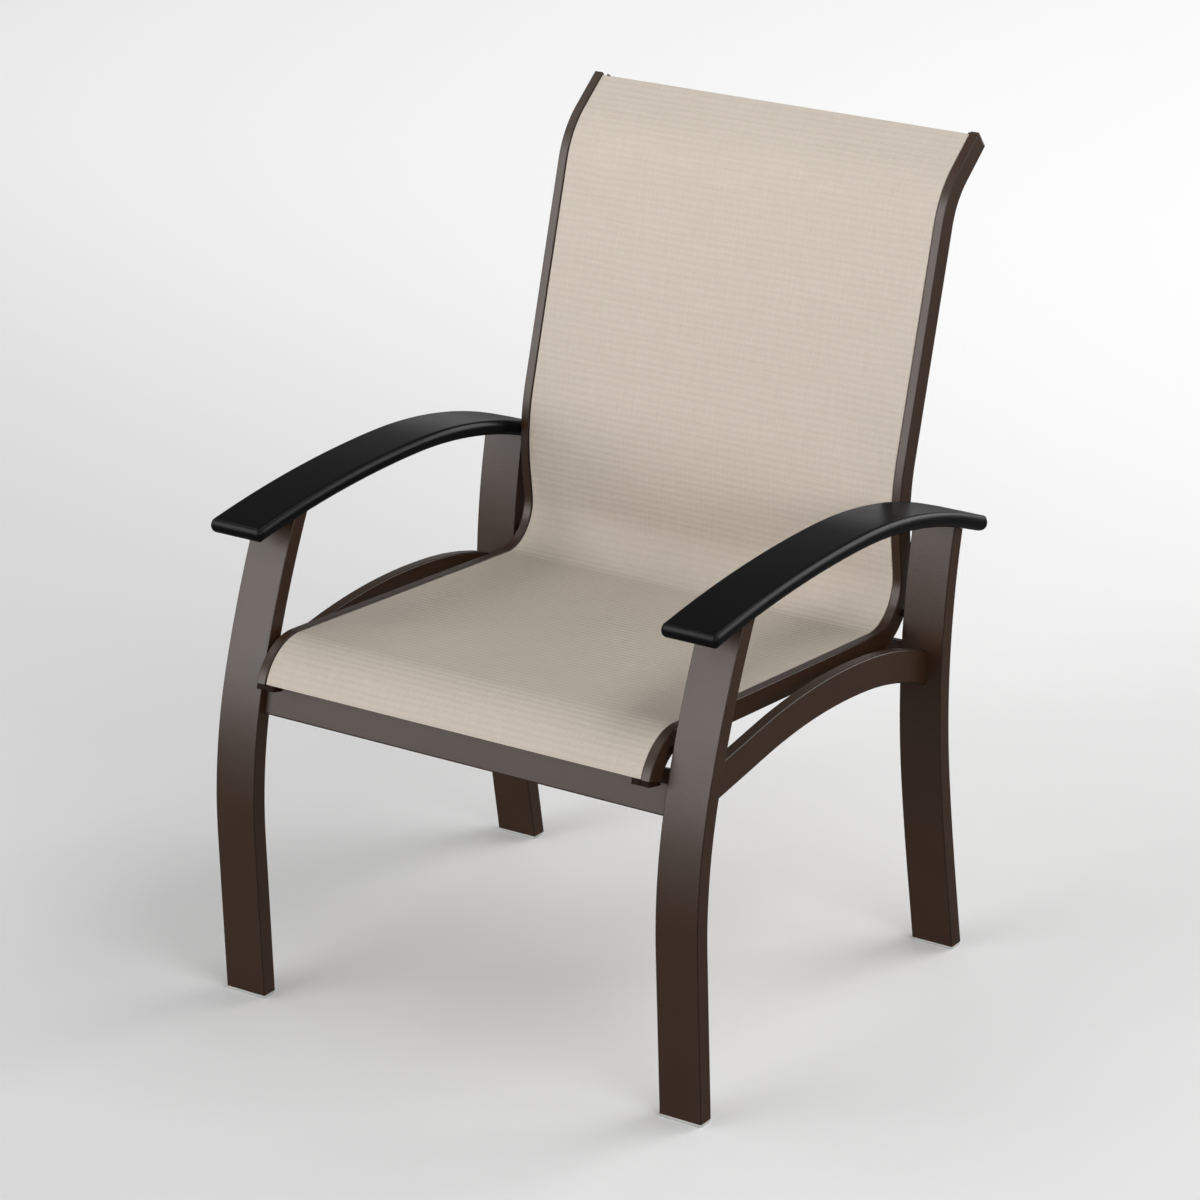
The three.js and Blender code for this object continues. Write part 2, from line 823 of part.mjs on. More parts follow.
place(frame, 'front_cross_rail', makeCrossRail(frontCrossRail), powderCoat);
place(frame, 'rear_cross_rail', makeCrossRail(rearCrossRail), powderCoat);
place(seat, 'sling_fabric', makeFabric(), slingYarn);
for (const [name, s] of Object.entries(stretchers)) {
  place(seat, `${name}_stretcher`, makeStretcher(s), powderCoat);
}

// The origin lies on the floor under the middle of the chair's box

const box = new THREE.Box3().setFromObject(chair);
chair.position.y = -(box.min.y + box.max.y) * half;

export default chair;
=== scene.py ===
# %% [markdown]
# # A sling patio chair, dressed piece by piece
# The chair is an assembly: four bent flat-tube legs, two arched side rails, two cross rails, two
# moulded arms, and one mesh sling stretched between two S-shaped rails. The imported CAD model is
# the frame that everything is set on. Most pieces are made again here as smooth surfaces with
# rounded arrises, because the CAD solids are cut into flat facets that would show in the gloss.

# %% Load the frame
import math

import bpy
import numpy as np
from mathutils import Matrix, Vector


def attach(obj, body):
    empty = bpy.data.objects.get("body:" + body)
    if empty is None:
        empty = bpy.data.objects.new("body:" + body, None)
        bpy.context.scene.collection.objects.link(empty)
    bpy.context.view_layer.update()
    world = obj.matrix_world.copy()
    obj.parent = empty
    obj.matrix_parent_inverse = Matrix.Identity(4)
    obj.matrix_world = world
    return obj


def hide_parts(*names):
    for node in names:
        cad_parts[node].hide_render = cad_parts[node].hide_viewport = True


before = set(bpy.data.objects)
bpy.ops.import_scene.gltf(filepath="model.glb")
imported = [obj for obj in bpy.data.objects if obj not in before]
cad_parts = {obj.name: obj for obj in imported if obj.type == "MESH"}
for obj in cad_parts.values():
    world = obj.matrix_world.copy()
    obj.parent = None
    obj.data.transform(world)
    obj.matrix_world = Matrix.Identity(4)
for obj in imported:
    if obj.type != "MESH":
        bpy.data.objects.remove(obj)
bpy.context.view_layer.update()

# %% [markdown]
# ## The camera
# The photograph was taken from in front of the chair and to the sitter's left, more than 5 m away
# and well above the arms. The camera's place, angles and focal length were solved from the corners
# of the feet and the edges of the legs and rails. The camera comes first, so that every later step
# can be looked at from the same place.

# %% The camera, at the photograph's viewing angle
CAMERA_TURN = 33.388  # degrees round from the front, towards the sitter's left
CAMERA_RISE = 19.978  # degrees above the horizon
CAMERA_PLACE = (2.64986, -4.05266, 2.23226)  # metres
FILM_WIDTH, FOCAL_LENGTH = 36, 140.57  # millimetres
FILM_SHIFT = (-0.00646, -0.0346)  # in widths of the film

lens = bpy.data.cameras.new("studio_camera")
lens.sensor_fit = "HORIZONTAL"
lens.sensor_width = FILM_WIDTH
lens.lens = FOCAL_LENGTH
lens.shift_x, lens.shift_y = FILM_SHIFT
camera = bpy.data.objects.new("studio_camera", lens)
camera.location = CAMERA_PLACE
camera.rotation_euler = [math.radians(90 - CAMERA_RISE), 0, math.radians(CAMERA_TURN)]
bpy.context.collection.objects.link(camera)
bpy.context.scene.camera = camera
print("camera", round(Vector(CAMERA_PLACE).length, 2), "m from the floor under the chair's middle")

# %% [markdown]
# ## Sizes
# All sizes are in millimetres, as on a workshop drawing, and become metres only when a mesh is
# made. They are the same ones that the solids were drawn with, so each piece lands on its solid.

# %% Sizes that several pieces share
MM = 0.001
SET_BACK = -62.672  # moves the drawing so that the chair's box is centred over the origin
FOOT_FRONT, FOOT_REAR = -265.9, 265.9  # the front faces of the feet
GLIDE_HEIGHT = 4.0
LEG_CENTRE, LEG_WIDTH, LEG_DEPTH = 286.0, 52.0, 20.0
SIDE_RAIL_WIDTH, SIDE_RAIL_HEIGHT = 12.7, 37.0
CROSS_RAIL_HEIGHT, CROSS_RAIL_THICKNESS = 49.5, 9.5
SLING_FACE = 241.0  # from the chair's middle to the inner edge of a sling rail
RAIL_FACE, RAIL_DEPTH = 11.0, 24.0
ARM_THICKNESS, ARM_HALF_WIDTH = 17.8, 34.4
ARM_OUTSET = 2  # of the arm's centre line outside the leg's
ARRIS, BAR_ARRIS = 1.2, 1.6  # radii: of legs, sling rails, caps and stretchers; of other rails
SEAM = 0.3  # between two pieces that butt together
OVERRUN = 30  # how far past the end of a route a cut may lie
SIDES = {"left": 1, "right": -1}

# %% [markdown]
# ## Routes
# Every long piece of the chair was bent from a straight bar in one plane. So its shape is fully
# told by a line in the side view made of straights and bends, which is how a bending shop
# describes it too. A section is then carried along that line.

# %% A route of straights and bends in the side view
STRAIGHT = None
HALVINGS = 40


class Route:
    """A line in the side view. Each run is (radius, turn in degrees) for a bend or (STRAIGHT,
    length). On a bend the heading changes evenly with distance, by the turn divided by the bend's
    length, which is its radius times the turn."""

    def __init__(self, y, z, heading, *runs):
        self.starts, self.curves = [0.0], []
        self.places, self.headings = [(y, z)], [math.radians(heading)]
        for radius, amount in runs:
            straight = radius is STRAIGHT
            curve = 0.0 if straight else math.copysign(1 / radius, amount)
            length = amount if straight else radius * math.radians(abs(amount))
            self.curves.append(curve)
            y, z, heading = self._walk(*self.places[-1], self.headings[-1], curve, length)
            self.starts.append(self.starts[-1] + length)
            self.places.append((float(y), float(z)))
            self.headings.append(float(heading))
        self.length = self.starts[-1]

    @staticmethod
    def _walk(y, z, heading, curve, t):
        """A step t along a circle of that curvature; with none it is a straight line."""
        end = heading + curve * t
        flat = np.abs(curve) < 1e-12
        bend = np.where(flat, 1.0, curve)
        return (
            y + np.where(flat, np.cos(heading) * t, (np.sin(end) - np.sin(heading)) / bend),
            z + np.where(flat, np.sin(heading) * t, (np.cos(heading) - np.cos(end)) / bend),
            end,
        )

    def point(self, s, depth):
        """The place at distance s, moved square to the route by depth, away from the show face."""
        s = np.asarray(s, float)
        run = np.clip(np.searchsorted(self.starts, s, side="right") - 1, 0, len(self.curves) - 1)
        y, z = np.moveaxis(np.array(self.places)[run], -1, 0)
        heading, curve = np.array(self.headings)[run], np.array(self.curves)[run]
        y, z, end = self._walk(y, z, heading, curve, s - np.array(self.starts)[run])
        return y + np.sin(end) * depth, z - np.cos(end) * depth

    def stations(self, low, high, bend_step=5.0, straight_step=25.0):
        """Distances from low to high: every joint between runs, and even steps in each run."""
        marks = [low]
        for start, end, curve in zip(self.starts, self.starts[1:], self.curves):
            a, b = max(start, low), min(end, high)
            if b > a:
                count = max(1, math.ceil((b - a) / (bend_step if curve else straight_step)))
                marks += list(a + (b - a) * np.arange(1, count + 1) / count)
        return np.unique(np.round(marks + [high], 6))

    def solve(self, test, low, high):
        """The distance between low and high where test changes sign, found by halving the stretch
        that holds it. Where test answers with an array, each of its places is solved at once."""
        low, high = np.array(low, float), np.array(high, float)
        first = test(low) > 0
        for _ in range(HALVINGS):
            middle = (low + high) / 2
            same = (test(middle) > 0) == first
            low, high = np.where(same, middle, low), np.where(same, high, middle)
        return low


# Each route's start and heading, in degrees from straight back and up, and then its runs
front_leg = Route(FOOT_FRONT, GLIDE_HEIGHT, 92.7, (STRAIGHT, 187.4), (563, -19), (1132, -14))
rear_leg = Route(FOOT_REAR, GLIDE_HEIGHT, 100.15, (STRAIGHT, 90.2), (2649, -2.64), (841, -25))
side_rail = Route(FOOT_FRONT + 16, 377.36, 9.2, (STRAIGHT, 135.7), (790, -16.05), (468, -24))
arm_line = Route(FOOT_FRONT + 4.9, 550.4, 8.9, (1709, -9.9), (705, -19.7), (STRAIGHT, 40))
sling = Route(
    FOOT_FRONT - 8.34, 381.46, 71.6,
    (62.4, -75.7), (STRAIGHT, 396.3), (48.4, 101.3), (STRAIGHT, 33.2),
    (250, -22.9), (STRAIGHT, 260.6), (107.8, -35.8), (STRAIGHT, 48),
)
for name, route in (
    ("front leg", front_leg), ("rear leg", rear_leg), ("arm", arm_line), ("sling", sling),
):
    print(f"{name}: {route.length:.1f} mm long")

# %% [markdown]
# ## Making meshes
# A section is a closed ring of points. Carried along a route it gives a grid of points, one row
# for each station, and the grid's cells are the faces. The two end rings are closed with one face
# each. The whole grid is worked out at once with numpy, and handed to Blender in one go.

# %% From a grid of rings to a Blender object
END_GAP = 0.4  # between an end and the nearest ring inside it
CREASE_ANGLE = 40  # degrees


def ring_faces(rings, around):
    """Cells between each ring and the next: corner (j, i) joins (j, i+1), (j+1, i+1), (j+1, i)."""
    i, j = np.meshgrid(np.arange(around), np.arange(rings - 1))
    here, after = j * around, (j + 1) * around
    turn = (i + 1) % around
    return np.stack([here + i, here + turn, after + turn, after + i], -1).reshape(-1, 4)


def end_faces(rings, around):
    """One face over the first ring and one over the last."""
    return [np.arange(around)[::-1], np.arange(around) + (rings - 1) * around]


def volume(points, faces):
    """A sixth of the sum of the triple products of each face's fan of triangles."""
    total = 0.0
    for face in faces:
        p = points[np.asarray(face)]
        total += float(np.einsum("ij,ij->", p[:1].repeat(len(p) - 2, 0), np.cross(p[1:-1], p[2:])))
    return total / 6


def make_object(name, points, quads, ends=(), uv=None, arris=None):
    """A mesh object in metres. Its faces are turned over together if its volume is negative."""
    placed = (points + np.array([0, SET_BACK, 0])) * MM
    corners = placed[quads]
    fan = np.cross(corners[:, 1], corners[:, 2]) + np.cross(corners[:, 2], corners[:, 3])
    size = float(np.einsum("ij,ij->", corners[:, 0], fan)) / 6 + volume(placed, ends)
    faces = [*quads.tolist(), *[end.tolist() for end in ends]]
    if size < 0:
        faces = [face[::-1] for face in faces]
    mesh = bpy.data.meshes.new(name)
    mesh.from_pydata(placed.tolist(), [], faces)
    if uv is not None:
        which = np.empty(len(mesh.loops), int)
        mesh.loops.foreach_get("vertex_index", which)
        layer = mesh.uv_layers.new(name="cloth")
        layer.data.foreach_set("uv", (uv[which] * MM).ravel())
    if arris is not None:
        layer = mesh.attributes.new("arris", "FLOAT", "POINT")
        layer.data.foreach_set("value", np.asarray(arris, float))
    mesh.polygons.foreach_set("use_smooth", np.full(len(mesh.polygons), True))
    mesh.validate()
    item = bpy.data.objects.new(name, mesh)
    bpy.context.collection.objects.link(item)
    return item


def carry(name, section, route, low, high, arris=None, bend_step=5.0):
    """A section of (across, depth) points carried along a route. low and high are distances, or
    one distance for each point of the section where an end is cut at a slant or a curve."""
    across, depth = section.T
    low, high = np.broadcast_to(low, across.shape), np.broadcast_to(high, across.shape)
    inner = route.stations(low.max() + END_GAP, high.min() - END_GAP, bend_step)
    s = np.vstack([low, np.repeat(inner[:, None], len(across), 1), high])
    y, z = route.point(s, np.broadcast_to(depth, s.shape))
    points = np.stack([np.broadcast_to(across, s.shape), y, z], -1).reshape(-1, 3)
    edge = None if arris is None else np.tile(arris, len(s))
    return make_tube(name, points, len(s), len(across), edge)


def make_tube(name, points, rings, around, arris=None):
    """A stack of rings as a closed object. Edges where faces meet at more than the crease angle
    stay crisp, and the rest are smooth."""
    item = make_object(name, points, ring_faces(rings, around), end_faces(rings, around), arris=arris)
    item.data.set_sharp_from_angle(angle=math.radians(CREASE_ANGLE))
    return item


# %% [markdown]
# ## Sections
# Drawn and extruded tube never has a knife edge: its arrises are small quarter rounds. A round
# of only a few facets would shade wrongly where it runs into a wide flat, so each flat also gets
# a point close to the end of each round, which keeps the flat looking flat.

# %% Sections with rounded arrises


def rounded(x0, x1, near, far, radius, steps=5, guard=0.6):
    """A rectangle whose corners are quarter circles: centre plus radius times (cos, sin). Returns
    the points and how much of an arris each one is, from 0 on a flat to 1 in mid-corner."""
    points, edge = [], []
    for cx, cy, start in [
        (x1 - radius, near + radius, -90), (x1 - radius, far - radius, 0),
        (x0 + radius, far - radius, 90), (x0 + radius, near + radius, 180),
    ]:
        angle = np.radians(start + np.linspace(0, 90, steps + 1))
        arc = np.c_[cx + radius * np.cos(angle), cy + radius * np.sin(angle)]
        into, out = (np.array([-math.sin(a), math.cos(a)]) for a in (angle[0], angle[-1]))
        points += [arc[:1] - into * guard, arc, arc[-1:] + out * guard]
        edge += [[0], np.sin(np.linspace(0, np.pi, steps + 1)), [0]]
    return np.vstack(points), np.concatenate(edge)


print("points round a tube's section:", len(rounded(0, 10, 0, 10, 1)[0]))

# %% [markdown]
# ## Colours and nodes
# Every finish below is a small network of shader nodes. Colours are written as hex values, as on
# a colour card, and shaders want them as amounts of light. One function adds a node and takes
# plain values and links alike, so each line of a finish reads as the node does on the screen.

# %% Helpers for colours and nodes
NOISE, MATH, MIX = "ShaderNodeTexNoise", "ShaderNodeMath", "ShaderNodeMix"


def srgb(text):
    """A hex colour in linear light: each part, from 0 to 1, plus 0.055 and over 1.055, to the
    power of 2.4, or close to black a 12.92nd of it."""
    c = np.array([int(text[i : i + 2], 16) for i in (0, 2, 4)]) / 255
    return (*np.where(c <= 0.04045, c / 12.92, ((c + 0.055) / 1.055) ** 2.4).tolist(), 1.0)


def per_metre(millimetres):
    """The scale of a noise whose grains are that many millimetres across."""
    return 1000 / millimetres


def add(tree, kind, inputs=None, **settings):
    """Adds a node with its settings, gives each input, by name or number, a value or a link, and
    returns the node's outputs."""
    node = tree.nodes.new(kind)
    for key, value in settings.items():
        setattr(node, key, value)
    for key, value in (inputs or {}).items():
        if isinstance(value, bpy.types.NodeSocket):
            tree.links.new(value, node.inputs[key])
        else:
            node.inputs[key].default_value = value
    return node.outputs


def start(name, **sockets):
    """A material with a Principled shader whose uniform values are set on its own sockets."""
    material = bpy.data.materials.new(name)
    material.use_nodes = True
    tree = material.node_tree
    shader = next(n for n in tree.nodes if n.type == "BSDF_PRINCIPLED")
    for key, value in sockets.items():
        shader.inputs[key.replace("_", " ")].default_value = value
    return material, tree, shader


def dress(tree, shader, colour, gloss, rough_range, height, strength, deep):
    """Links a colour to the shader, a roughness that runs over a range with the gloss pattern, and
    a bump from a height pattern that is so many millimetres deep."""
    low, high = rough_range
    rough = add(tree, "ShaderNodeMapRange", {"Value": gloss, "To Min": low, "To Max": high})["Result"]
    relief = {"Height": height, "Strength": strength, "Distance": deep * MM}
    normal = add(tree, "ShaderNodeBump", relief)["Normal"]
    for socket, source in (("Base Color", colour), ("Roughness", rough), ("Normal", normal)):
        tree.links.new(source, shader.inputs[socket])


print("mid grey 808080 in linear light:", round(srgb("808080")[0], 3))

# %% [markdown]
# ## Finishes: textured powder coat
# The frame is aluminium tube, powder-coated in a dark bronze brown. The powder is sprayed on dry
# and melted in an oven. It flows into a skin with a faint orange-peel swell about 2 mm wide and a
# fine sandy grain, so highlights are broad and slightly broken. The grain is about 0.4 mm, and is
# drawn coarser, at 0.7 mm. The arrises are painted darker: partly the thin coat that the powder
# pulls to there, and partly painted shade for the dark line that the arrises take under the lights.

# %% The powder coat


def powder_coat():
    """Base colour: noise between two browns, painted darker on the arris, partly as shade. Height: swell
    plus grain.
    """
    material, tree, shader = start(
        "aluminium_tube_powder_coated_bronze", Metallic=0.0, IOR=1.5, Specular_IOR_Level=0.52,
    )
    place = add(tree, "ShaderNodeTexCoord")["Object"]
    cloud = add(tree, NOISE, {"Vector": place, "Scale": per_metre(60), "Detail": 3.0})["Fac"]
    swell = add(tree, NOISE, {"Vector": place, "Scale": per_metre(2.2), "Detail": 1.0})["Fac"]
    grain = add(tree, NOISE, {"Vector": place, "Scale": per_metre(0.7), "Detail": 2.0})["Fac"]
    browns = {"Factor": cloud, "A": srgb("321f12"), "B": srgb("392515")}
    tint = add(tree, MIX, browns, data_type="RGBA")["Result"]
    arris = add(tree, "ShaderNodeAttribute", attribute_name="arris")["Fac"]
    # The arrises are painted darker, partly for a thin coat and partly as painted shade.
    arris_shade_amount = add(tree, MATH, {0: arris, 1: 0.8}, operation="MULTIPLY")[0]
    arris_shaded_tint = add(tree, MIX, {"Factor": arris_shade_amount, "A": tint, "B": srgb("1c1009")}, data_type="RGBA")["Result"]
    height = add(tree, MATH, {0: swell, 1: 1.6, 2: grain}, operation="MULTIPLY_ADD")[0]
    dress(tree, shader, arris_shaded_tint, cloud, (0.34, 0.42), height, 0.12, 0.4)
    return material


BRONZE = powder_coat()
print("finish:", BRONZE.name)

# %% [markdown]
# ## Finishes: moulded arms and nylon fittings
# The arms are injection-moulded in black polymer with a spark-eroded texture, which gives a dim
# satin sheen. Its grain is about 0.5 mm, and is drawn coarser, at 0.8 mm. The caps are dark nylon,
# and the glides are pale nylon, which is slightly milky because light goes a little way into it.

# %% The polymers


def moulded(name, dark, light, roughness, grain_size, strength, **sockets):
    """Base colour: a slow noise between two shades. Height: a fine noise, like a mould's texture."""
    material, tree, shader = start(name, **sockets)
    place = add(tree, "ShaderNodeTexCoord")["Object"]
    cloud = add(tree, NOISE, {"Vector": place, "Scale": per_metre(35), "Detail": 4.0})["Fac"]
    grain = add(tree, NOISE, {"Vector": place, "Scale": per_metre(grain_size), "Detail": 2.0})["Fac"]
    shades = {"Factor": cloud, "A": srgb(dark), "B": srgb(light)}
    tint = add(tree, MIX, shades, data_type="RGBA")["Result"]
    rough_range = (roughness - 0.05, roughness + 0.05)
    dress(tree, shader, tint, cloud, rough_range, grain, strength, 0.3)
    return material


ARM_BLACK = moulded(
    "polypropylene_moulded_black", "08080a", "0c0c0d", 0.3, 0.8, 0.06, Specular_IOR_Level=0.14,
)
CAP_BROWN = moulded(
    "nylon_moulded_dark_brown", "1c0f09", "27170f", 0.55, 0.9, 0.2, Specular_IOR_Level=0.08,
)
GLIDE_PALE = moulded(
    "nylon_moulded_pale", "b4b6b4", "c8cac8", 0.35, 1.2, 0.1,
    Subsurface_Weight=0.2, Subsurface_Scale=0.002,
)
print("finishes:", ARM_BLACK.name, CAP_BROWN.name, GLIDE_PALE.name)

# %% [markdown]
# ## Finishes: zinc-plated steel
# The screws and bolts are turned steel with bright zinc plating. It is a soft silver with fine
# marks left by the tool, so its roughness changes a little from place to place.

# %% The zinc plating


def zinc():
    """Colour, roughness and height all follow one fine noise. The height is very shallow."""
    material, tree, shader = start("steel_turned_zinc_plated", Metallic=1.0)
    place = add(tree, "ShaderNodeTexCoord")["Object"]
    marks = add(tree, NOISE, {"Vector": place, "Scale": per_metre(0.5), "Detail": 3.0})["Fac"]
    silvers = {"Factor": marks, "A": srgb("8a8c8f"), "B": srgb("a5a7aa")}
    tint = add(tree, MIX, silvers, data_type="RGBA")["Result"]
    dress(tree, shader, tint, marks, (0.25, 0.45), marks, 0.1, 0.2)
    return material


ZINC = zinc()
print("finish:", ZINC.name)

# %% [markdown]
# ## Finishes: the sling's mesh cloth
# The cloth is woven from polyester yarn with a vinyl skin, in a plain weave. The real pitch is
# about 1.3 mm, which is finer than a pixel of the picture, so it is drawn coarser to show, with
# the lengthwise yarns 3.4 mm apart and the crosswise ones 2 mm, as the photograph has it. Every
# few picks a thicker yarn is beaten in, which gives the soft ribs 8 mm apart that run across the
# chair. Each yarn's own shade wanders a little along its length. All of it follows the cloth's own
# map, so that the weave bends with the sling.

# %% The mesh cloth
WARP, WEFT = 3.4 * MM, 2.0 * MM
RIB = 8.0 * MM
# Noises drawn out along the yarns: grains in a metre across the sling and along it, and detail
DRAWN_OUT = {"wander": (9.0, 35.0, 2.0), "weft": (14.0, 420.0, 3.0), "warp": (300.0, 22.0, 2.0)}


def mesh_cloth():
    """Height: at each crossing either the warp or the weft lies on top, and each yarn is round, the
    sine of its place across itself; the ribs add a slow wave along the sling. Colour: a weighted
    sum of that crossing, the ribs and the noises, so yarn tops and rib crests are painted lighter
    and the hollows darker, as painted shade, while the noises are the yarns' own tone."""
    material, tree, shader = start(
        "polyester_yarn_vinyl_coated_woven",
        IOR=1.5, Specular_IOR_Level=0.1, Sheen_Weight=0.04, Sheen_Roughness=0.5,
    )
    cloth_map = add(tree, "ShaderNodeUVMap", uv_map="cloth")["UV"]
    place = add(tree, "ShaderNodeSeparateXYZ", {0: cloth_map})
    fleck = add(tree, NOISE, {"Vector": cloth_map, "Scale": per_metre(3), "Detail": 2.0})["Fac"]
    noises = {}
    for name, (across, along, detail) in DRAWN_OUT.items():
        grid = add(tree, "ShaderNodeMapping", {"Vector": cloth_map, "Scale": (across, along, 1.0)})[0]
        noises[name] = add(tree, NOISE, {"Vector": grid, "Scale": 1.0, "Detail": detail})["Fac"]

    waves, yarns = [], []
    for axis, pitch in (("X", WARP), ("Y", WEFT)):
        turns = add(tree, MATH, {0: place[axis], 1: math.pi / pitch}, operation="MULTIPLY")[0]
        waves.append(add(tree, MATH, {0: turns}, operation="SINE")[0])
        yarns.append(add(tree, MATH, {0: waves[-1]}, operation="ABSOLUTE")[0])
    product = add(tree, MATH, {0: waves[0], 1: waves[1]}, operation="MULTIPLY")[0]
    sign = add(tree, MATH, {0: product}, operation="SIGN")[0]
    over = add(tree, MATH, {0: sign, 1: 0.5, 2: 0.5}, operation="MULTIPLY_ADD")[0]
    tops = {"Factor": over, "A": yarns[0], "B": yarns[1]}
    crossing = add(tree, MIX, tops, data_type="FLOAT")["Result"]

    drift = add(tree, MATH, {0: noises["wander"], 1: 5.0}, operation="MULTIPLY")[0]
    beat = {0: place["Y"], 1: 2 * math.pi / RIB, 2: drift}
    phase = add(tree, MATH, beat, operation="MULTIPLY_ADD")[0]
    rib = add(tree, MATH, {0: phase}, operation="SINE")[0]

    # The colour follows the relief: yarn tops and rib crests painted lighter and the hollows darker, as
    # painted shade; the noises are the yarns' own tone.
    tone_and_painted_shade = add(tree, MATH, {0: rib, 1: 0.09, 2: -0.25}, operation="MULTIPLY_ADD")[0]
    for part, weight in (
        (crossing, 0.55), (noises["weft"], 0.7), (noises["warp"], 0.5), (fleck, 0.25),
    ):
        tone_and_painted_shade = add(tree, MATH, {0: part, 1: weight, 2: tone_and_painted_shade}, operation="MULTIPLY_ADD")[0]
    ramp = add(tree, "ShaderNodeMapRange", {"Value": tone_and_painted_shade, "From Min": 0.3, "From Max": 1.3})["Result"]
    beiges = {"Factor": ramp, "A": srgb("bbb0a3"), "B": srgb("cbc1b5")}
    tint = add(tree, MIX, beiges, data_type="RGBA")["Result"]
    height = add(tree, MATH, {0: rib, 1: 0.8, 2: crossing}, operation="MULTIPLY_ADD")[0]
    dress(tree, shader, tint, crossing, (0.75, 0.6), height, 0.45, 0.4)
    return material


CLOTH = mesh_cloth()
print(f"weave {WARP / MM:.1f} by {WEFT / MM:.1f} mm, ribs {RIB / MM:.1f} mm apart")

# %% [markdown]
# ## Finishing a piece
# Each finished piece gets its material and rides on the chair's one body, and the CAD node that
# it stands for is hidden.

# %% One call that finishes a piece


def finish(item, material, slot, *nodes):
    """Gives a piece its material and the chair's body, and hides the CAD nodes that it replaces. The slot
    is not used.
    """
    item.data.materials.append(material)
    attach(item, "root")
    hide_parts(*nodes)
    print(f"{item.name}: {len(item.data.polygons)} faces, {material.name}")


# %% [markdown]
# ## Legs
# Each leg is a flat tube, 52 by 20 mm, bent so that it bows outwards at the knee and leans in to
# the arm. Its lower end is cut level over the glide, and its upper end follows the underside of
# the arm. Cutting is done by asking, for each point of the section, how far along the route the
# cut lies, instead of with a boolean, so that the grid of faces stays even.

# %% The four legs


def line_places(route, count):
    """Many distances along a route, from a little before its start to a little past its end."""
    return np.linspace(-40, route.length + 40, count)


def under_arm(y, z):
    """How far a point lies below the arm's top line, by the nearest of many places on it."""
    line_y, line_z = arm_line.point(line_places(arm_line, 1500), 0)
    y, z = np.atleast_1d(y), np.atleast_1d(z)
    gap = np.hypot(y[:, None] - line_y, z[:, None] - line_z).min(1)
    above = z > np.interp(y, line_y, line_z)
    return np.where(above, -gap, gap)


def make_leg(name, route, side):
    """A tube from the height of the glide up to the arm's underside, less a seam."""
    centre, half = side * LEG_CENTRE, LEG_WIDTH / 2
    section, arris = rounded(centre - half, centre + half, 0, LEG_DEPTH, ARRIS)
    depth = section[:, 1]
    foot = route.solve(
        lambda s: route.point(s, depth)[1] - GLIDE_HEIGHT, -OVERRUN, 2 * OVERRUN
    )
    top = route.solve(
        lambda s: under_arm(*route.point(s, depth)) - ARM_THICKNESS - SEAM,
        route.length * 0.6, route.length + OVERRUN,
    )
    return carry(name, section, route, foot, top, arris, bend_step=12)


LEGS = {"front": front_leg, "rear": rear_leg}
for hand, side in SIDES.items():
    for end, route in LEGS.items():
        item = make_leg(f"{hand}_{end}_leg_tube", route, side)
        finish(item, BRONZE, "frame_powder_coat", f"{end}_leg_{hand}")
print(f"legs: drawn along {front_leg.length:.0f} and {rear_leg.length:.0f} mm")

# %% [markdown]
# ## Rails between the legs
# The arched side rails are narrow tubes on edge, notched to the curved faces of the legs and
# welded. The cross rails are flat tubes that butt against the inner faces of the legs.

# %% Side rails and cross rails
BAR_RINGS = 9
LEG_INSIDE = LEG_CENTRE - LEG_WIDTH / 2


def depth_behind(route, y, z):
    """How far a point lies behind a route's show face: its offset from the nearest place on it."""
    s = line_places(route, 2500)
    line_y, line_z = route.point(s, 0)
    back_y, back_z = route.point(s, 1)
    y, z = np.atleast_1d(y), np.atleast_1d(z)
    near = np.hypot(y[:, None] - line_y, z[:, None] - line_z).argmin(1)
    off_y, off_z = y - line_y[near], z - line_z[near]
    return off_y * (back_y - line_y)[near] + off_z * (back_z - line_z)[near]


def make_arched_rail(name, side):
    """A tube on edge from the back of the front leg to the face of the rear one."""
    centre, half = side * LEG_CENTRE, SIDE_RAIL_WIDTH / 2
    section, arris = rounded(centre - half, centre + half, 0, SIDE_RAIL_HEIGHT, BAR_ARRIS)
    depth = section[:, 1]
    front = side_rail.solve(
        lambda s: depth_behind(front_leg, *side_rail.point(s, depth)) - LEG_DEPTH - SEAM,
        -OVERRUN, 100,
    )
    rear = side_rail.solve(
        lambda s: depth_behind(rear_leg, *side_rail.point(s, depth)) + SEAM,
        350, side_rail.length + OVERRUN,
    )
    return carry(name, section, side_rail, front, rear, arris, bend_step=8)


def bar_across(name, y, z, tilt, height, thickness, radius, reach):
    """A section in the side view, drawn along X: its corner, then up its face and back."""
    section, arris = rounded(0, height, 0, thickness, radius)
    up, depth = section.T
    lean = math.radians(90 - tilt)
    line_y = y + math.cos(lean) * up + math.sin(lean) * depth
    line_z = z + math.sin(lean) * up - math.cos(lean) * depth
    x = np.linspace(-reach, reach, BAR_RINGS)[:, None]
    points = np.stack(np.broadcast_arrays(x, line_y, line_z), -1).reshape(-1, 3)
    return make_tube(name, points, BAR_RINGS, len(up), np.tile(arris, BAR_RINGS))


for hand, side in SIDES.items():
    item = make_arched_rail(f"{hand}_arched_rail", side)
    finish(item, BRONZE, "frame_powder_coat", f"side_rail_{hand}")

# Each cross rail's place: how far up its leg, how far behind the leg's face, and its tilt
for end, rise, setback, tilt in (("front", 336, 8.9, 13), ("rear", 324.5, 4.75, 0)):
    y, z = (float(v) for v in LEGS[end].point(rise, setback))
    item = bar_across(
        f"{end}_cross_tube", y, z, tilt, CROSS_RAIL_HEIGHT, CROSS_RAIL_THICKNESS, BAR_ARRIS, LEG_INSIDE,
    )
    finish(item, BRONZE, "frame_powder_coat", f"{end}_cross_rail")
    print(end, "cross rail's lower edge is", round(z, 1), "mm up")

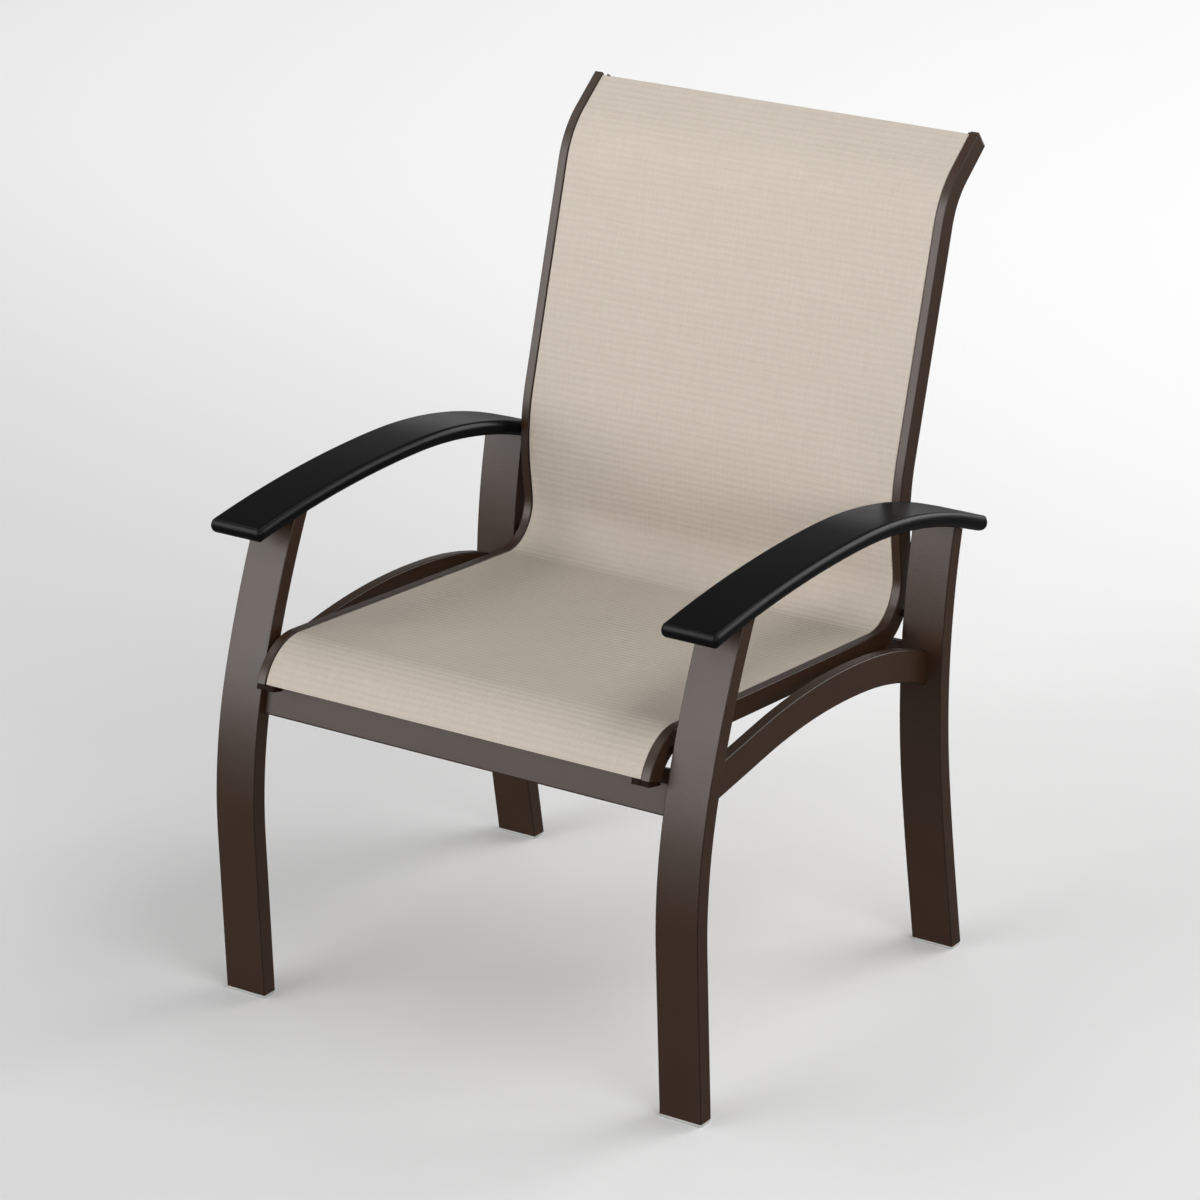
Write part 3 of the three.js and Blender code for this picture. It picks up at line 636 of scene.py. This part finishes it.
# %% [markdown]
# ## Sling rails
# The two rails are one aluminium extrusion: a flat tube with its narrow side to the front, and
# beside it a channel open in front that grips the sling's hem. The channel lies just under the
# cloth, so from the front only the narrow face and the outer side show.

# %% The sling rails
CHANNEL_REACH = 12.4  # inwards from the rail's inner edge
CHANNEL_NEAR, CHANNEL_FAR = 2.1, 14.1  # depths of its lips and its back
CHANNEL_SLOT, CHANNEL_WALL = 1.7, 1.6


def rail_section(side):
    """The tube's rounded rectangle with the channel's open C let into its inner side."""
    outer, arris = rounded(0, RAIL_FACE, 0, RAIL_DEPTH, ARRIS)
    near, far, wall = CHANNEL_NEAR, CHANNEL_FAR, CHANNEL_WALL
    outside = [(0, far), (-CHANNEL_REACH, far), (-CHANNEL_REACH, near), (-CHANNEL_SLOT, near)]
    inner = wall - CHANNEL_REACH
    inside = [(-CHANNEL_SLOT, near + wall), (inner, near + wall), (inner, far - wall), (0, far - wall)]
    channel = np.array(outside + inside)
    last = len(outer) // 4 * 3
    section = np.vstack([outer[:last], channel, outer[last:]])
    section[:, 0] = side * (SLING_FACE + section[:, 0])
    return section, np.concatenate([arris[:last], np.zeros(len(channel)), arris[last:]])


for hand, side in SIDES.items():
    section, arris = rail_section(side)
    item = carry(f"{hand}_sling_extrusion", section, sling, 0, sling.length, arris, bend_step=4)
    finish(item, BRONZE, "frame_powder_coat", f"sling_rail_{hand}")
print(f"sling rails: {sling.length:.0f} mm of extrusion each")

# %% [markdown]
# ## Stretchers behind the sling
# Two flat bars hold the rails apart, one under the seat and one behind the back. They sit out of
# sight behind the cloth.

# %% The stretchers
STRETCHER_HEIGHT, STRETCHER_THICKNESS, STRETCHER_SETBACK = 30, 5, 15.5
# Their middles, along the sling's line
STRETCHERS = {"seat": sling.starts[1] + 250, "back": sling.starts[5] + 100}
for name, s in STRETCHERS.items():
    y, z = (float(v) for v in sling.point(s - STRETCHER_HEIGHT / 2, STRETCHER_SETBACK))
    y2, z2 = (float(v) for v in sling.point(s + STRETCHER_HEIGHT / 2, STRETCHER_SETBACK))
    tilt = 90 - math.degrees(math.atan2(z2 - z, y2 - y))
    item = bar_across(
        f"{name}_spreader_bar", y, z, tilt, STRETCHER_HEIGHT, STRETCHER_THICKNESS, ARRIS, SLING_FACE - 0.1,
    )
    finish(item, BRONZE, "frame_powder_coat", f"{name}_stretcher")

# %% [markdown]
# ## The sling
# One panel of cloth, held stretched. Its long edges are folded round a plastic spline into a hem
# that is slid down the rail's channel, so the cloth turns a crisp corner beside the rail. Between
# the rails it is very slightly hollow, because even taut cloth gives. The other pieces don't mirror
# it: the black arms in the photograph take no pale tint from it.

# %% The sling as one sheet
CLOTH_THICKNESS = 1.0
CLOTH_DEPTH = 1.3  # of its middle below the rail's face
CLOTH_EDGE = SLING_FACE - 0.35 - CLOTH_THICKNESS / 2  # its middle, where it goes into the channel
CLOTH_END = 0.5  # short of each end of the rails
HEM_WIDTH, HEM_NEAR, HEM_DEEP = 6.2, 4.5, 10.7  # round the spline
HEM_CUT = 0.8  # off the hem's corners
HOLLOW, HOLLOW_RISE = 1.2, 90  # how deep it is, and how far from the free ends it is full


def sling_line():
    """The cloth's middle line across the chair: over the face, round a corner of 1 mm radius into
    the channel, and round the spline. Returns the points as (across, depth)."""
    edge, inner, near, deep, cut = CLOTH_EDGE, CLOTH_EDGE - HEM_WIDTH, HEM_NEAR, HEM_DEEP, HEM_CUT
    corner = np.radians(np.linspace(-90, 0, 6))
    fold = np.c_[edge - 1 + np.cos(corner), CLOTH_DEPTH + 1 + np.sin(corner)]
    hem = [
        (edge, deep - 2.0), (edge, deep - cut), (edge - cut, deep), (inner + cut, deep),
        (inner, deep - cut), (inner, near + cut), (inner + cut, near), (edge - 1.1, near),
    ]
    half = np.vstack([fold, hem])
    face = np.linspace(-(edge - 1), edge - 1, 61)[1:-1]
    return np.vstack([(half * [-1, 1])[::-1], np.c_[face, np.full(len(face), CLOTH_DEPTH)], half])


def make_sling():
    """The line carried along the sling's route. The hollow is a parabola across the chair, full
    between the rails and nothing at them, times a smooth rise from both free ends, 3 t squared
    less 2 t cubed."""
    line = sling_line()
    s = sling.stations(CLOTH_END, sling.length - CLOTH_END, 3.0, 9.0)
    x, depth = line.T
    rise = np.minimum(1, np.minimum(s, sling.length - s) / HOLLOW_RISE)[:, None]
    bow = np.clip(1 - (x / (SLING_FACE - 2)) ** 2, 0, 1)[None, :]
    hollow = HOLLOW * rise**2 * (3 - 2 * rise) * bow
    grid_s = np.repeat(s[:, None], len(x), 1)
    y, z = sling.point(grid_s, depth[None, :] + hollow)
    points = np.stack([np.broadcast_to(x, y.shape), y, z], -1).reshape(-1, 3)
    steps = np.r_[0, np.cumsum(np.hypot(*np.diff(line, axis=0).T))]
    uv = np.stack(np.broadcast_arrays(steps[None, :] - steps[-1] / 2, grid_s), -1).reshape(-1, 2)
    i, j = np.meshgrid(np.arange(len(x) - 1), np.arange(len(s) - 1))
    first = j * len(x) + i
    quads = np.stack([first, first + 1, first + len(x) + 1, first + len(x)], -1).reshape(-1, 4)
    return points, quads, uv, steps[-1]


points, quads, uv, cut_width = make_sling()
cloth = make_object("sling_cloth_panel", points, quads, uv=uv)
wall = cloth.modifiers.new("thickness", "SOLIDIFY")
wall.thickness = CLOTH_THICKNESS * MM
wall.offset = 0
cloth.modifiers.new("flat_to_the_edge", "WEIGHTED_NORMAL")
cloth.visible_glossy = False
finish(cloth, CLOTH, "sling_cloth", "sling_fabric")

# %% [markdown]
# ## Splines in the hems
# A round plastic cord fills each hem, so that the hem can't pull out through the channel's slot.
# Its end stands a little out of the rail at the top.

# %% The splines
SPLINE_RADIUS, SPLINE_END = 2.3, 4.8
turn = np.radians(np.arange(12) * 30)
for hand, side in SIDES.items():
    centre, depth = side * (CLOTH_EDGE - HEM_WIDTH / 2), (HEM_NEAR + HEM_DEEP) / 2
    section = np.c_[centre + SPLINE_RADIUS * np.cos(turn), depth + SPLINE_RADIUS * np.sin(turn)]
    item = carry(f"{hand}_hem_cord", section, sling, 0.0, sling.length + SPLINE_END, bend_step=8)
    finish(item, CAP_BROWN, "dark_nylon", f"sling_spline_{hand}")

# %% [markdown]
# ## Rail caps
# A pressed metal cap closes the top of each rail. At the lower end a thicker moulded plate closes
# the tube and the channel together, and keeps the cloth from sliding out.

# %% The caps
TOP_CAP, BOTTOM_CAP = 2.5, 6.0  # thicknesses
PLATE_DEPTH = 19.5  # of the bottom cap's tongue


def ease(item, width):
    """Rounds the crisp edges of a small part, in millimetres."""
    bevel = item.modifiers.new("eased_edges", "BEVEL")
    bevel.width, bevel.segments, bevel.limit_method = width * MM, 3, "ANGLE"
    bevel.angle_limit = math.radians(CREASE_ANGLE)


def bottom_plate():
    """The tube's rectangle with its corners cut, and a tongue under the channel whose free end is
    cut twice at each corner. Points are (out from the rail's inner edge, depth)."""
    face, deep, cut, tip = RAIL_FACE, RAIL_DEPTH, ARRIS, -CHANNEL_REACH
    tube = [(0, cut), (face - cut, 0), (face, cut), (face, deep - cut), (face - cut, deep), (cut, deep)]
    step = [(0, deep - cut), (0, PLATE_DEPTH)]
    far = [(tip + 4, PLATE_DEPTH), (tip + cut, PLATE_DEPTH - cut), (tip, PLATE_DEPTH - 4)]
    near = [(tip, 4), (tip + cut, cut), (tip + 4, 0), (-1, 0)]
    return np.array([*tube, *step, *far, *near], float)


for hand, side in SIDES.items():
    inner, outer = sorted((side * SLING_FACE, side * (SLING_FACE + RAIL_FACE)))
    section, arris = rounded(inner, outer, 0, RAIL_DEPTH, ARRIS)
    top = sling.length + SEAM
    item = carry(f"{hand}_top_cap_plate", section, sling, top, top + TOP_CAP, arris)
    ease(item, 0.9)
    finish(item, BRONZE, "frame_powder_coat", f"rail_top_cap_{hand}")

    section = (bottom_plate() + [SLING_FACE, 0]) * [side, 1]
    item = carry(f"{hand}_bottom_cap_plate", section, sling, -SEAM - BOTTOM_CAP, -SEAM)
    ease(item, 0.8)
    finish(item, CAP_BROWN, "dark_nylon", f"rail_bottom_cap_{hand}")

# %% [markdown]
# ## Arms
# Each arm is a solid moulding. It is a board with the same edge all the way round: a flattened
# bulge above the widest line, and a generous round below it, with small rounded corners in plan.
# The shape is a stack of rings. Each ring is the board's outline, drawn smaller by the edge's
# inset at that depth, and laid on the arm's curved line. The top and bottom are closed with rungs
# from side to side, so that they follow the curve.

# %% A ring: a rectangle with rounded corners that knows its left and right sides
ARM_UNDER_RADIUS = 9.0
ARM_CORNER, ARM_CORNER_LEAST = 5.0, 0.6  # radii in plan
ARM_MARKS, ARM_CORNER_STEPS = 90, 5


def plan_ring(half_width, low, high, radius, marks, corner_steps):
    """Points round a board from the low end up its right side, then back down its left. Corner
    points are the corner's centre plus radius times (cos, sin)."""
    along = low + radius + (high - low - 2 * radius) * np.linspace(0, 1, marks)
    right = np.c_[np.full(len(along), half_width), along]
    turn = np.radians(np.linspace(0, 90, corner_steps + 1))[1:]
    out = half_width - radius + radius * np.cos(turn)
    far = np.c_[out, high - radius + radius * np.sin(turn)]
    near = np.c_[out, low + radius - radius * np.sin(turn)]
    flip = np.array([-1, 1])
    return np.vstack([right, far, (far * flip)[::-1], (right * flip)[::-1], near * flip, near[::-1]])


def arm_edge():
    """Insets and depths of the edge, from the top face down. It is four arcs that run on from one
    another: tight beside the top face, almost flat on the upper half of the edge, easier at the
    widest line, and 9 mm in radius below it. Along an arc the lean falls from one angle to the
    next; the edge goes down by the radius times the change of its sine, and out by the radius
    times the change of its cosine."""
    FITTED = None  # a radius that ends the arc at the depth of the widest line
    widest = ARM_THICKNESS - ARM_UNDER_RADIUS
    arcs = [(4.0, 90, 37, 8), (13.5, 37, 13, 7), (FITTED, 13, 0, 3), (ARM_UNDER_RADIUS, 0, -90, 9)]
    inset, depth, rows = 0.0, 0.0, [(0.0, 0.0)]
    for radius, first, last, count in arcs:
        lean = np.radians(np.linspace(first, last, count + 1))
        sine, cosine = np.sin(lean), np.cos(lean)
        if radius is FITTED:
            radius = (widest - depth) / (sine[0] - sine[-1])
        rows += list(zip(
            inset - radius * (cosine[1:] - cosine[0]), depth + radius * (sine[0] - sine[1:]),
        ))
        inset, depth = rows[-1]
    edge = np.array(rows)
    edge[:, 0] -= edge[:, 0].min()
    above, below = [edge[0, 0] + 1.2, 0.0], [edge[-1, 0] + 3.0, ARM_THICKNESS]
    return np.vstack([[above], edge, [below]])


def make_arm(name, side):
    """The rings of the edge's stack, and rungs and end faces over the first and the last."""
    count, corner = ARM_MARKS, ARM_CORNER_STEPS
    rings = []
    for inset, depth in arm_edge():
        radius = max(ARM_CORNER - inset, ARM_CORNER_LEAST)
        length = arm_line.length - inset
        ring = plan_ring(ARM_HALF_WIDTH - inset, inset, length, radius, count, corner)
        y, z = arm_line.point(ring[:, 1], np.full(len(ring), depth))
        rings.append(np.c_[side * (LEG_CENTRE + ARM_OUTSET) + ring[:, 0], y, z])
    points, around = np.vstack(rings), len(rings[0])
    quads = ring_faces(len(rings), around)
    left = np.arange(count + 2 * corner, 2 * count + 2 * corner)[::-1]
    right = np.arange(count)
    rungs = np.stack([right[:-1], right[1:], left[1:], left[:-1]], -1)
    far_end = np.arange(count - 1, count + 2 * corner + 1)
    near_end = np.r_[left[0], np.arange(2 * count + 2 * corner, around), 0]
    last = (len(rings) - 1) * around
    quads = np.vstack([quads, rungs[:, ::-1], rungs + last])
    ends = [far_end[::-1], near_end[::-1], far_end + last, near_end + last]
    return make_object(name, points, quads, ends)


for hand, side in SIDES.items():
    item = make_arm(f"{hand}_arm_moulding", side)
    finish(item, ARM_BLACK, "arm_polymer", f"armrest_{hand}")
print(f"arms: {arm_line.length:.0f} mm along the curve")

# %% [markdown]
# ## Glides
# Under each leg a pale nylon glide keeps the tube off the floor. Only its sole shows, 4 mm high,
# with a rounded lower edge.

# %% The four glides
GLIDE_HALF_WIDTH, GLIDE_NEAR, GLIDE_FAR, GLIDE_CORNER = 25.5, 0.5, 19.7, 2.2
# Heights above the floor, and how far the sole is drawn in there
GLIDE_EDGE = [(0, 1.6), (0.25, 0.7), (0.9, 0.15), (1.6, 0), (3.4, 0), (3.9, 0.3), (GLIDE_HEIGHT, 0.8)]


def make_glide(name, route, side):
    """Rings of a rounded rectangle, from a small ring on the floor out to the full sole."""
    rings = []
    for height, inset in GLIDE_EDGE:
        s = route.solve(lambda s: route.point(s, 0)[1] - height, -OVERRUN, 2 * OVERRUN)
        front = route.point(s, 0)[0]
        size = GLIDE_HALF_WIDTH - inset, GLIDE_NEAR + inset, GLIDE_FAR - inset, GLIDE_CORNER - inset
        x, y = plan_ring(*size, marks=5, corner_steps=4).T
        rings.append(np.c_[side * LEG_CENTRE + x, front + y, np.full(len(x), height)])
    around = len(rings[0])
    faces, ends = ring_faces(len(rings), around), end_faces(len(rings), around)
    return make_object(name, np.vstack(rings), faces, ends)


for hand, side in SIDES.items():
    for end, route in LEGS.items():
        item = make_glide(f"{hand}_{end}_glide_sole", route, side)
        finish(item, GLIDE_PALE, "pale_nylon", f"foot_glide_{end}_{hand}")

# %% [markdown]
# ## Screws, bolts and spacers
# A round-headed screw goes into each leg from behind and grips the arm's tenon. Bolts through the
# sling rails, with a short spacer on each, hang the seat on the legs. The heads have a six-sided
# socket. A turned piece is a profile of radius and place, spun about its axis, and the socket is
# the same with a radius that follows a hexagon.

# %% Turned pieces
ROUND, HEXAGON = False, True


def spin(name, profile, base, direction, sides=36):
    """Each point of the profile becomes a ring: radius times (cos, sin) across the axis, place
    along it. A hexagon's radius is its half width across flats, divided by the cosine of the angle
    from the nearest flat."""
    angle = np.radians(np.arange(sides) * 360 / sides)
    flat = 1 / np.cos((angle + np.pi / 6) % (np.pi / 3) - np.pi / 6)
    axis = Vector(direction).normalized()
    across = axis.orthogonal().normalized()
    circle = np.outer(np.cos(angle), across) + np.outer(np.sin(angle), axis.cross(across))
    rings = []
    for radius, place, outline in profile:
        r = radius * (flat if outline is HEXAGON else np.ones(sides))
        rings.append(r[:, None] * circle + np.array(axis) * place + base)
    return make_tube(name, np.vstack(rings), len(rings), sides)


# %% [markdown]
# ## The bolts that carry the seat
# Each bolt has its head against the inner side of a sling rail, behind the cloth. The shank goes
# through the rail and the spacer, and ends in the leg. In the side view the bolt is where a line
# behind the rail's face crosses one behind the leg's face, so it isn't placed by hand.

# %% Bolts and spacers
SHANK_RADIUS, SHANK_END = 2.4, 0.6  # the end is cut back by as much as its radius shrinks
HEAD_RADIUS, HEAD_HEIGHT, HEAD_RIM = 4.0, 2.6, 0.3
SOCKET_HALF, SOCKET_FLOOR = 1.5, 1.2
SPACER_RADIUS, SPACER_BORE, SPACER_LENGTH, SPACER_EDGE = 4.2, 2.7, 8.0, 0.3
BOLT_LENGTH, BOLT_DEPTH, BOLT_SETBACK = 27, 18.4, 13.8  # behind the rail's face, and the leg's


def bolt_profile(length):
    """(radius, place, outline) from the floor of the socket, over the head and along the shank.
    The dome's radius is 1.8 plus 2.2 times the sine of an angle, and its place is 2 times one less
    the cosine, counted from the top of the head."""
    dome = np.radians(np.linspace(0, 80, 6))
    socket = [(SOCKET_HALF, -SOCKET_FLOOR, HEXAGON), (SOCKET_HALF, 0.2 - HEAD_HEIGHT, HEXAGON)]
    rim = SOCKET_HALF + 0.25, -HEAD_HEIGHT, ROUND
    head = [(1.8 + 2.2 * math.sin(a), 2 * (1 - math.cos(a)) - HEAD_HEIGHT, ROUND) for a in dome]
    under = [(HEAD_RADIUS, -HEAD_RIM, ROUND), (HEAD_RADIUS - 0.1, 0, ROUND)]
    end = length - SHANK_END
    shank = [(SHANK_RADIUS, 0.01, ROUND), (SHANK_RADIUS, end, ROUND)]
    return [*socket, rim, *head, *under, *shank, (SHANK_RADIUS - SHANK_END, length, ROUND)]


def spacer_profile():
    """A short tube's outside, with eased edges; its ends are closed round the bolt."""
    length, edge, outer = SPACER_LENGTH, SPACER_EDGE, SPACER_RADIUS
    points = [
        (SPACER_BORE, 0), (outer - edge, 0), (outer, edge),
        (outer, length - edge), (outer - edge, length), (SPACER_BORE, length),
    ]
    return [(radius, place, ROUND) for radius, place in points]


def cross_leg(route, low, high):
    """Where the sling's line at the bolt's depth crosses a leg's line at the bolt's setback."""
    return sling.solve(
        lambda s: depth_behind(route, *sling.point(s, BOLT_DEPTH)) - BOLT_SETBACK, low, high,
    ).item()


HANGERS = {
    "front": cross_leg(front_leg, 0, sling.starts[1]),
    "rear": cross_leg(rear_leg, sling.starts[2], sling.starts[3]),
}
for hand, side in SIDES.items():
    for end, s in HANGERS.items():
        y, z = (float(v) for v in sling.point(s, BOLT_DEPTH))
        bolt_base = (side * SLING_FACE, y, z)
        item = spin(f"{hand}_{end}_hanger_bolt", bolt_profile(BOLT_LENGTH), bolt_base, (side, 0, 0))
        finish(item, ZINC, "zinc_steel", f"rail_bolt_{end}_{hand}")
        spacer_base = (side * (SLING_FACE + RAIL_FACE), y, z)
        item = spin(f"{hand}_{end}_hanger_spacer", spacer_profile(), spacer_base, (side, 0, 0))
        finish(item, BRONZE, "frame_powder_coat", f"rail_spacer_{end}_{hand}")
print("hanger bolts at", {k: round(v, 1) for k, v in HANGERS.items()}, "mm along the sling")

# %% [markdown]
# ## The screws that hold the arms
# One goes into the back of each leg, square to it, just below the arm, and ends in the tenon.

# %% Arm screws
SCREW_LENGTH, SCREW_DROP = 12, 13  # below the leg's upper end

for hand, side in SIDES.items():
    for end, route in LEGS.items():
        top = route.solve(
            lambda s: under_arm(*route.point(s, LEG_DEPTH)) - ARM_THICKNESS,
            route.length / 2, route.length,
        ).item()
        y, z = (float(v) for v in route.point(top - SCREW_DROP, LEG_DEPTH + SEAM))
        y2, z2 = (float(v) for v in route.point(top - SCREW_DROP, LEG_DEPTH + SEAM - 1))
        into_leg = (0, y2 - y, z2 - z)
        profile = bolt_profile(SCREW_LENGTH)
        item = spin(f"{hand}_{end}_arm_fixing", profile, (side * LEG_CENTRE, y, z), into_leg)
        finish(item, ZINC, "zinc_steel", f"arm_screw_{end}_{hand}")

# %% [markdown]
# ## The studio
# A pale floor runs back out of sight under broad softboxes and a dim fill. Each softbox is told
# by where it stands as seen from the chair. The lowest, in front and to the left, is mirrored by
# the faces that lean back, which gives them their grey sheen. The ones on the right light the
# chair's sides. A light with a grid, which keeps its beam narrow, is aimed at the upper back, so
# that the back is paler than the seat. The low ones behind put the gleam on the arms, and a flat
# lamp close over the floor behind keeps the background pale. The floor itself isn't mirrored, as
# with matt black cards laid round a real chair, so that upright faces keep their brown.

# %% Floor, surround and lights
FILL = 0.13
CHAIR_MIDDLE = 0.45
FLOOR_REACH = 14  # metres from the chair to each side
GRID_SPREAD = 40  # degrees


def studio_floor():
    """A pale square that isn't mirrored in the chair."""
    far = FLOOR_REACH
    mesh = bpy.data.meshes.new("studio_floor")
    mesh.from_pydata([(-far, -far, 0), (far, -far, 0), (far, far, 0), (-far, far, 0)], [], [(0, 1, 2, 3)])
    item = bpy.data.objects.new("studio_floor", mesh)
    bpy.context.collection.objects.link(item)
    pale = start("studio_floor_pale", Base_Color=srgb("f2f2f2"), Roughness=0.9, Specular_IOR_Level=0.1)
    mesh.materials.append(pale[0])
    item.visible_glossy = False


def soft_lamp(name, width, height, brightness, place, towards):
    """A rectangle of light, as bright as asked all over: a flat lamp's power is its brightness
    times its area times pi. The camera doesn't see the lamp itself."""
    light = bpy.data.lights.new(name, "AREA")
    light.shape, light.size, light.size_y = "RECTANGLE", width, height
    light.energy = brightness * math.pi * width * height
    item = bpy.data.objects.new(name, light)
    item.location = place
    item.rotation_euler = Vector(towards).to_track_quat("-Z", "Y").to_euler()
    item.visible_camera = False
    bpy.context.collection.objects.link(item)
    print(f"{name}: {width:.1f} by {height:.1f} m, {light.energy:.0f} W")
    return item


def softbox(name, turn, low, high, spread, brightness, distance=6.0):
    """Faces the chair's middle, and is placed by angles seen from there: round from the front,
    from low to high above the horizon, and its spread from side to side."""
    rise, turn = math.radians((low + high) / 2), math.radians(turn)
    width = 2 * distance * math.cos(rise) * math.tan(math.radians(spread / 2))
    height = 2 * distance * math.tan(math.radians((high - low) / 2))
    flat = math.cos(rise)
    away = Vector((math.sin(turn) * flat, -math.cos(turn) * flat, math.sin(rise)))
    soft_lamp(name, width, height, brightness, Vector((0, 0, CHAIR_MIDDLE)) + away * distance, -away)


studio_floor()
world = bpy.data.worlds.new("studio_surround")
world.use_nodes = True
background = world.node_tree.nodes["Background"]
background.inputs["Color"].default_value = (1, 1, 1, 1)
background.inputs["Strength"].default_value = FILL
bpy.context.scene.world = world

# For each softbox: turn, low, high and spread in degrees, brightness, and metres away
softbox("low_front_left_softbox", -31, -1, 26, 45, 4.45, 7.0)
softbox("low_right_softbox", 59, 12, 25, 45, 5.7)
softbox("high_front_right_softbox", 75, 42, 62, 60, 2.7, 4.5)
softbox("high_rear_right_softbox", 130, 42, 62, 60, 2.3, 4.5)
softbox("high_left_softbox", -76, 42, 62, 45, 1.9, 4.5)
softbox("low_rear_right_softbox", 147, 6, 26, 40, 4.6)
grid = soft_lamp("gridded_back_light", 0.8, 0.5, 0.8, (-1.05, -1.95, 2.25), (1.05, 2.3, -1.3))
grid.data.spread = math.radians(GRID_SPREAD)
softbox("low_rear_softbox", 192, 0, 13, 62, 0.55)
# Aimed a hair off straight down, so that its sides have a definite direction
floor_wash = soft_lamp("rear_floor_wash", 6.0, 5.4, 0.66, (-2.7, 4.1, 1.35), (0, 0.001, -1))
floor_wash.visible_glossy = False
bpy.context.scene.view_settings.view_transform = "Standard"
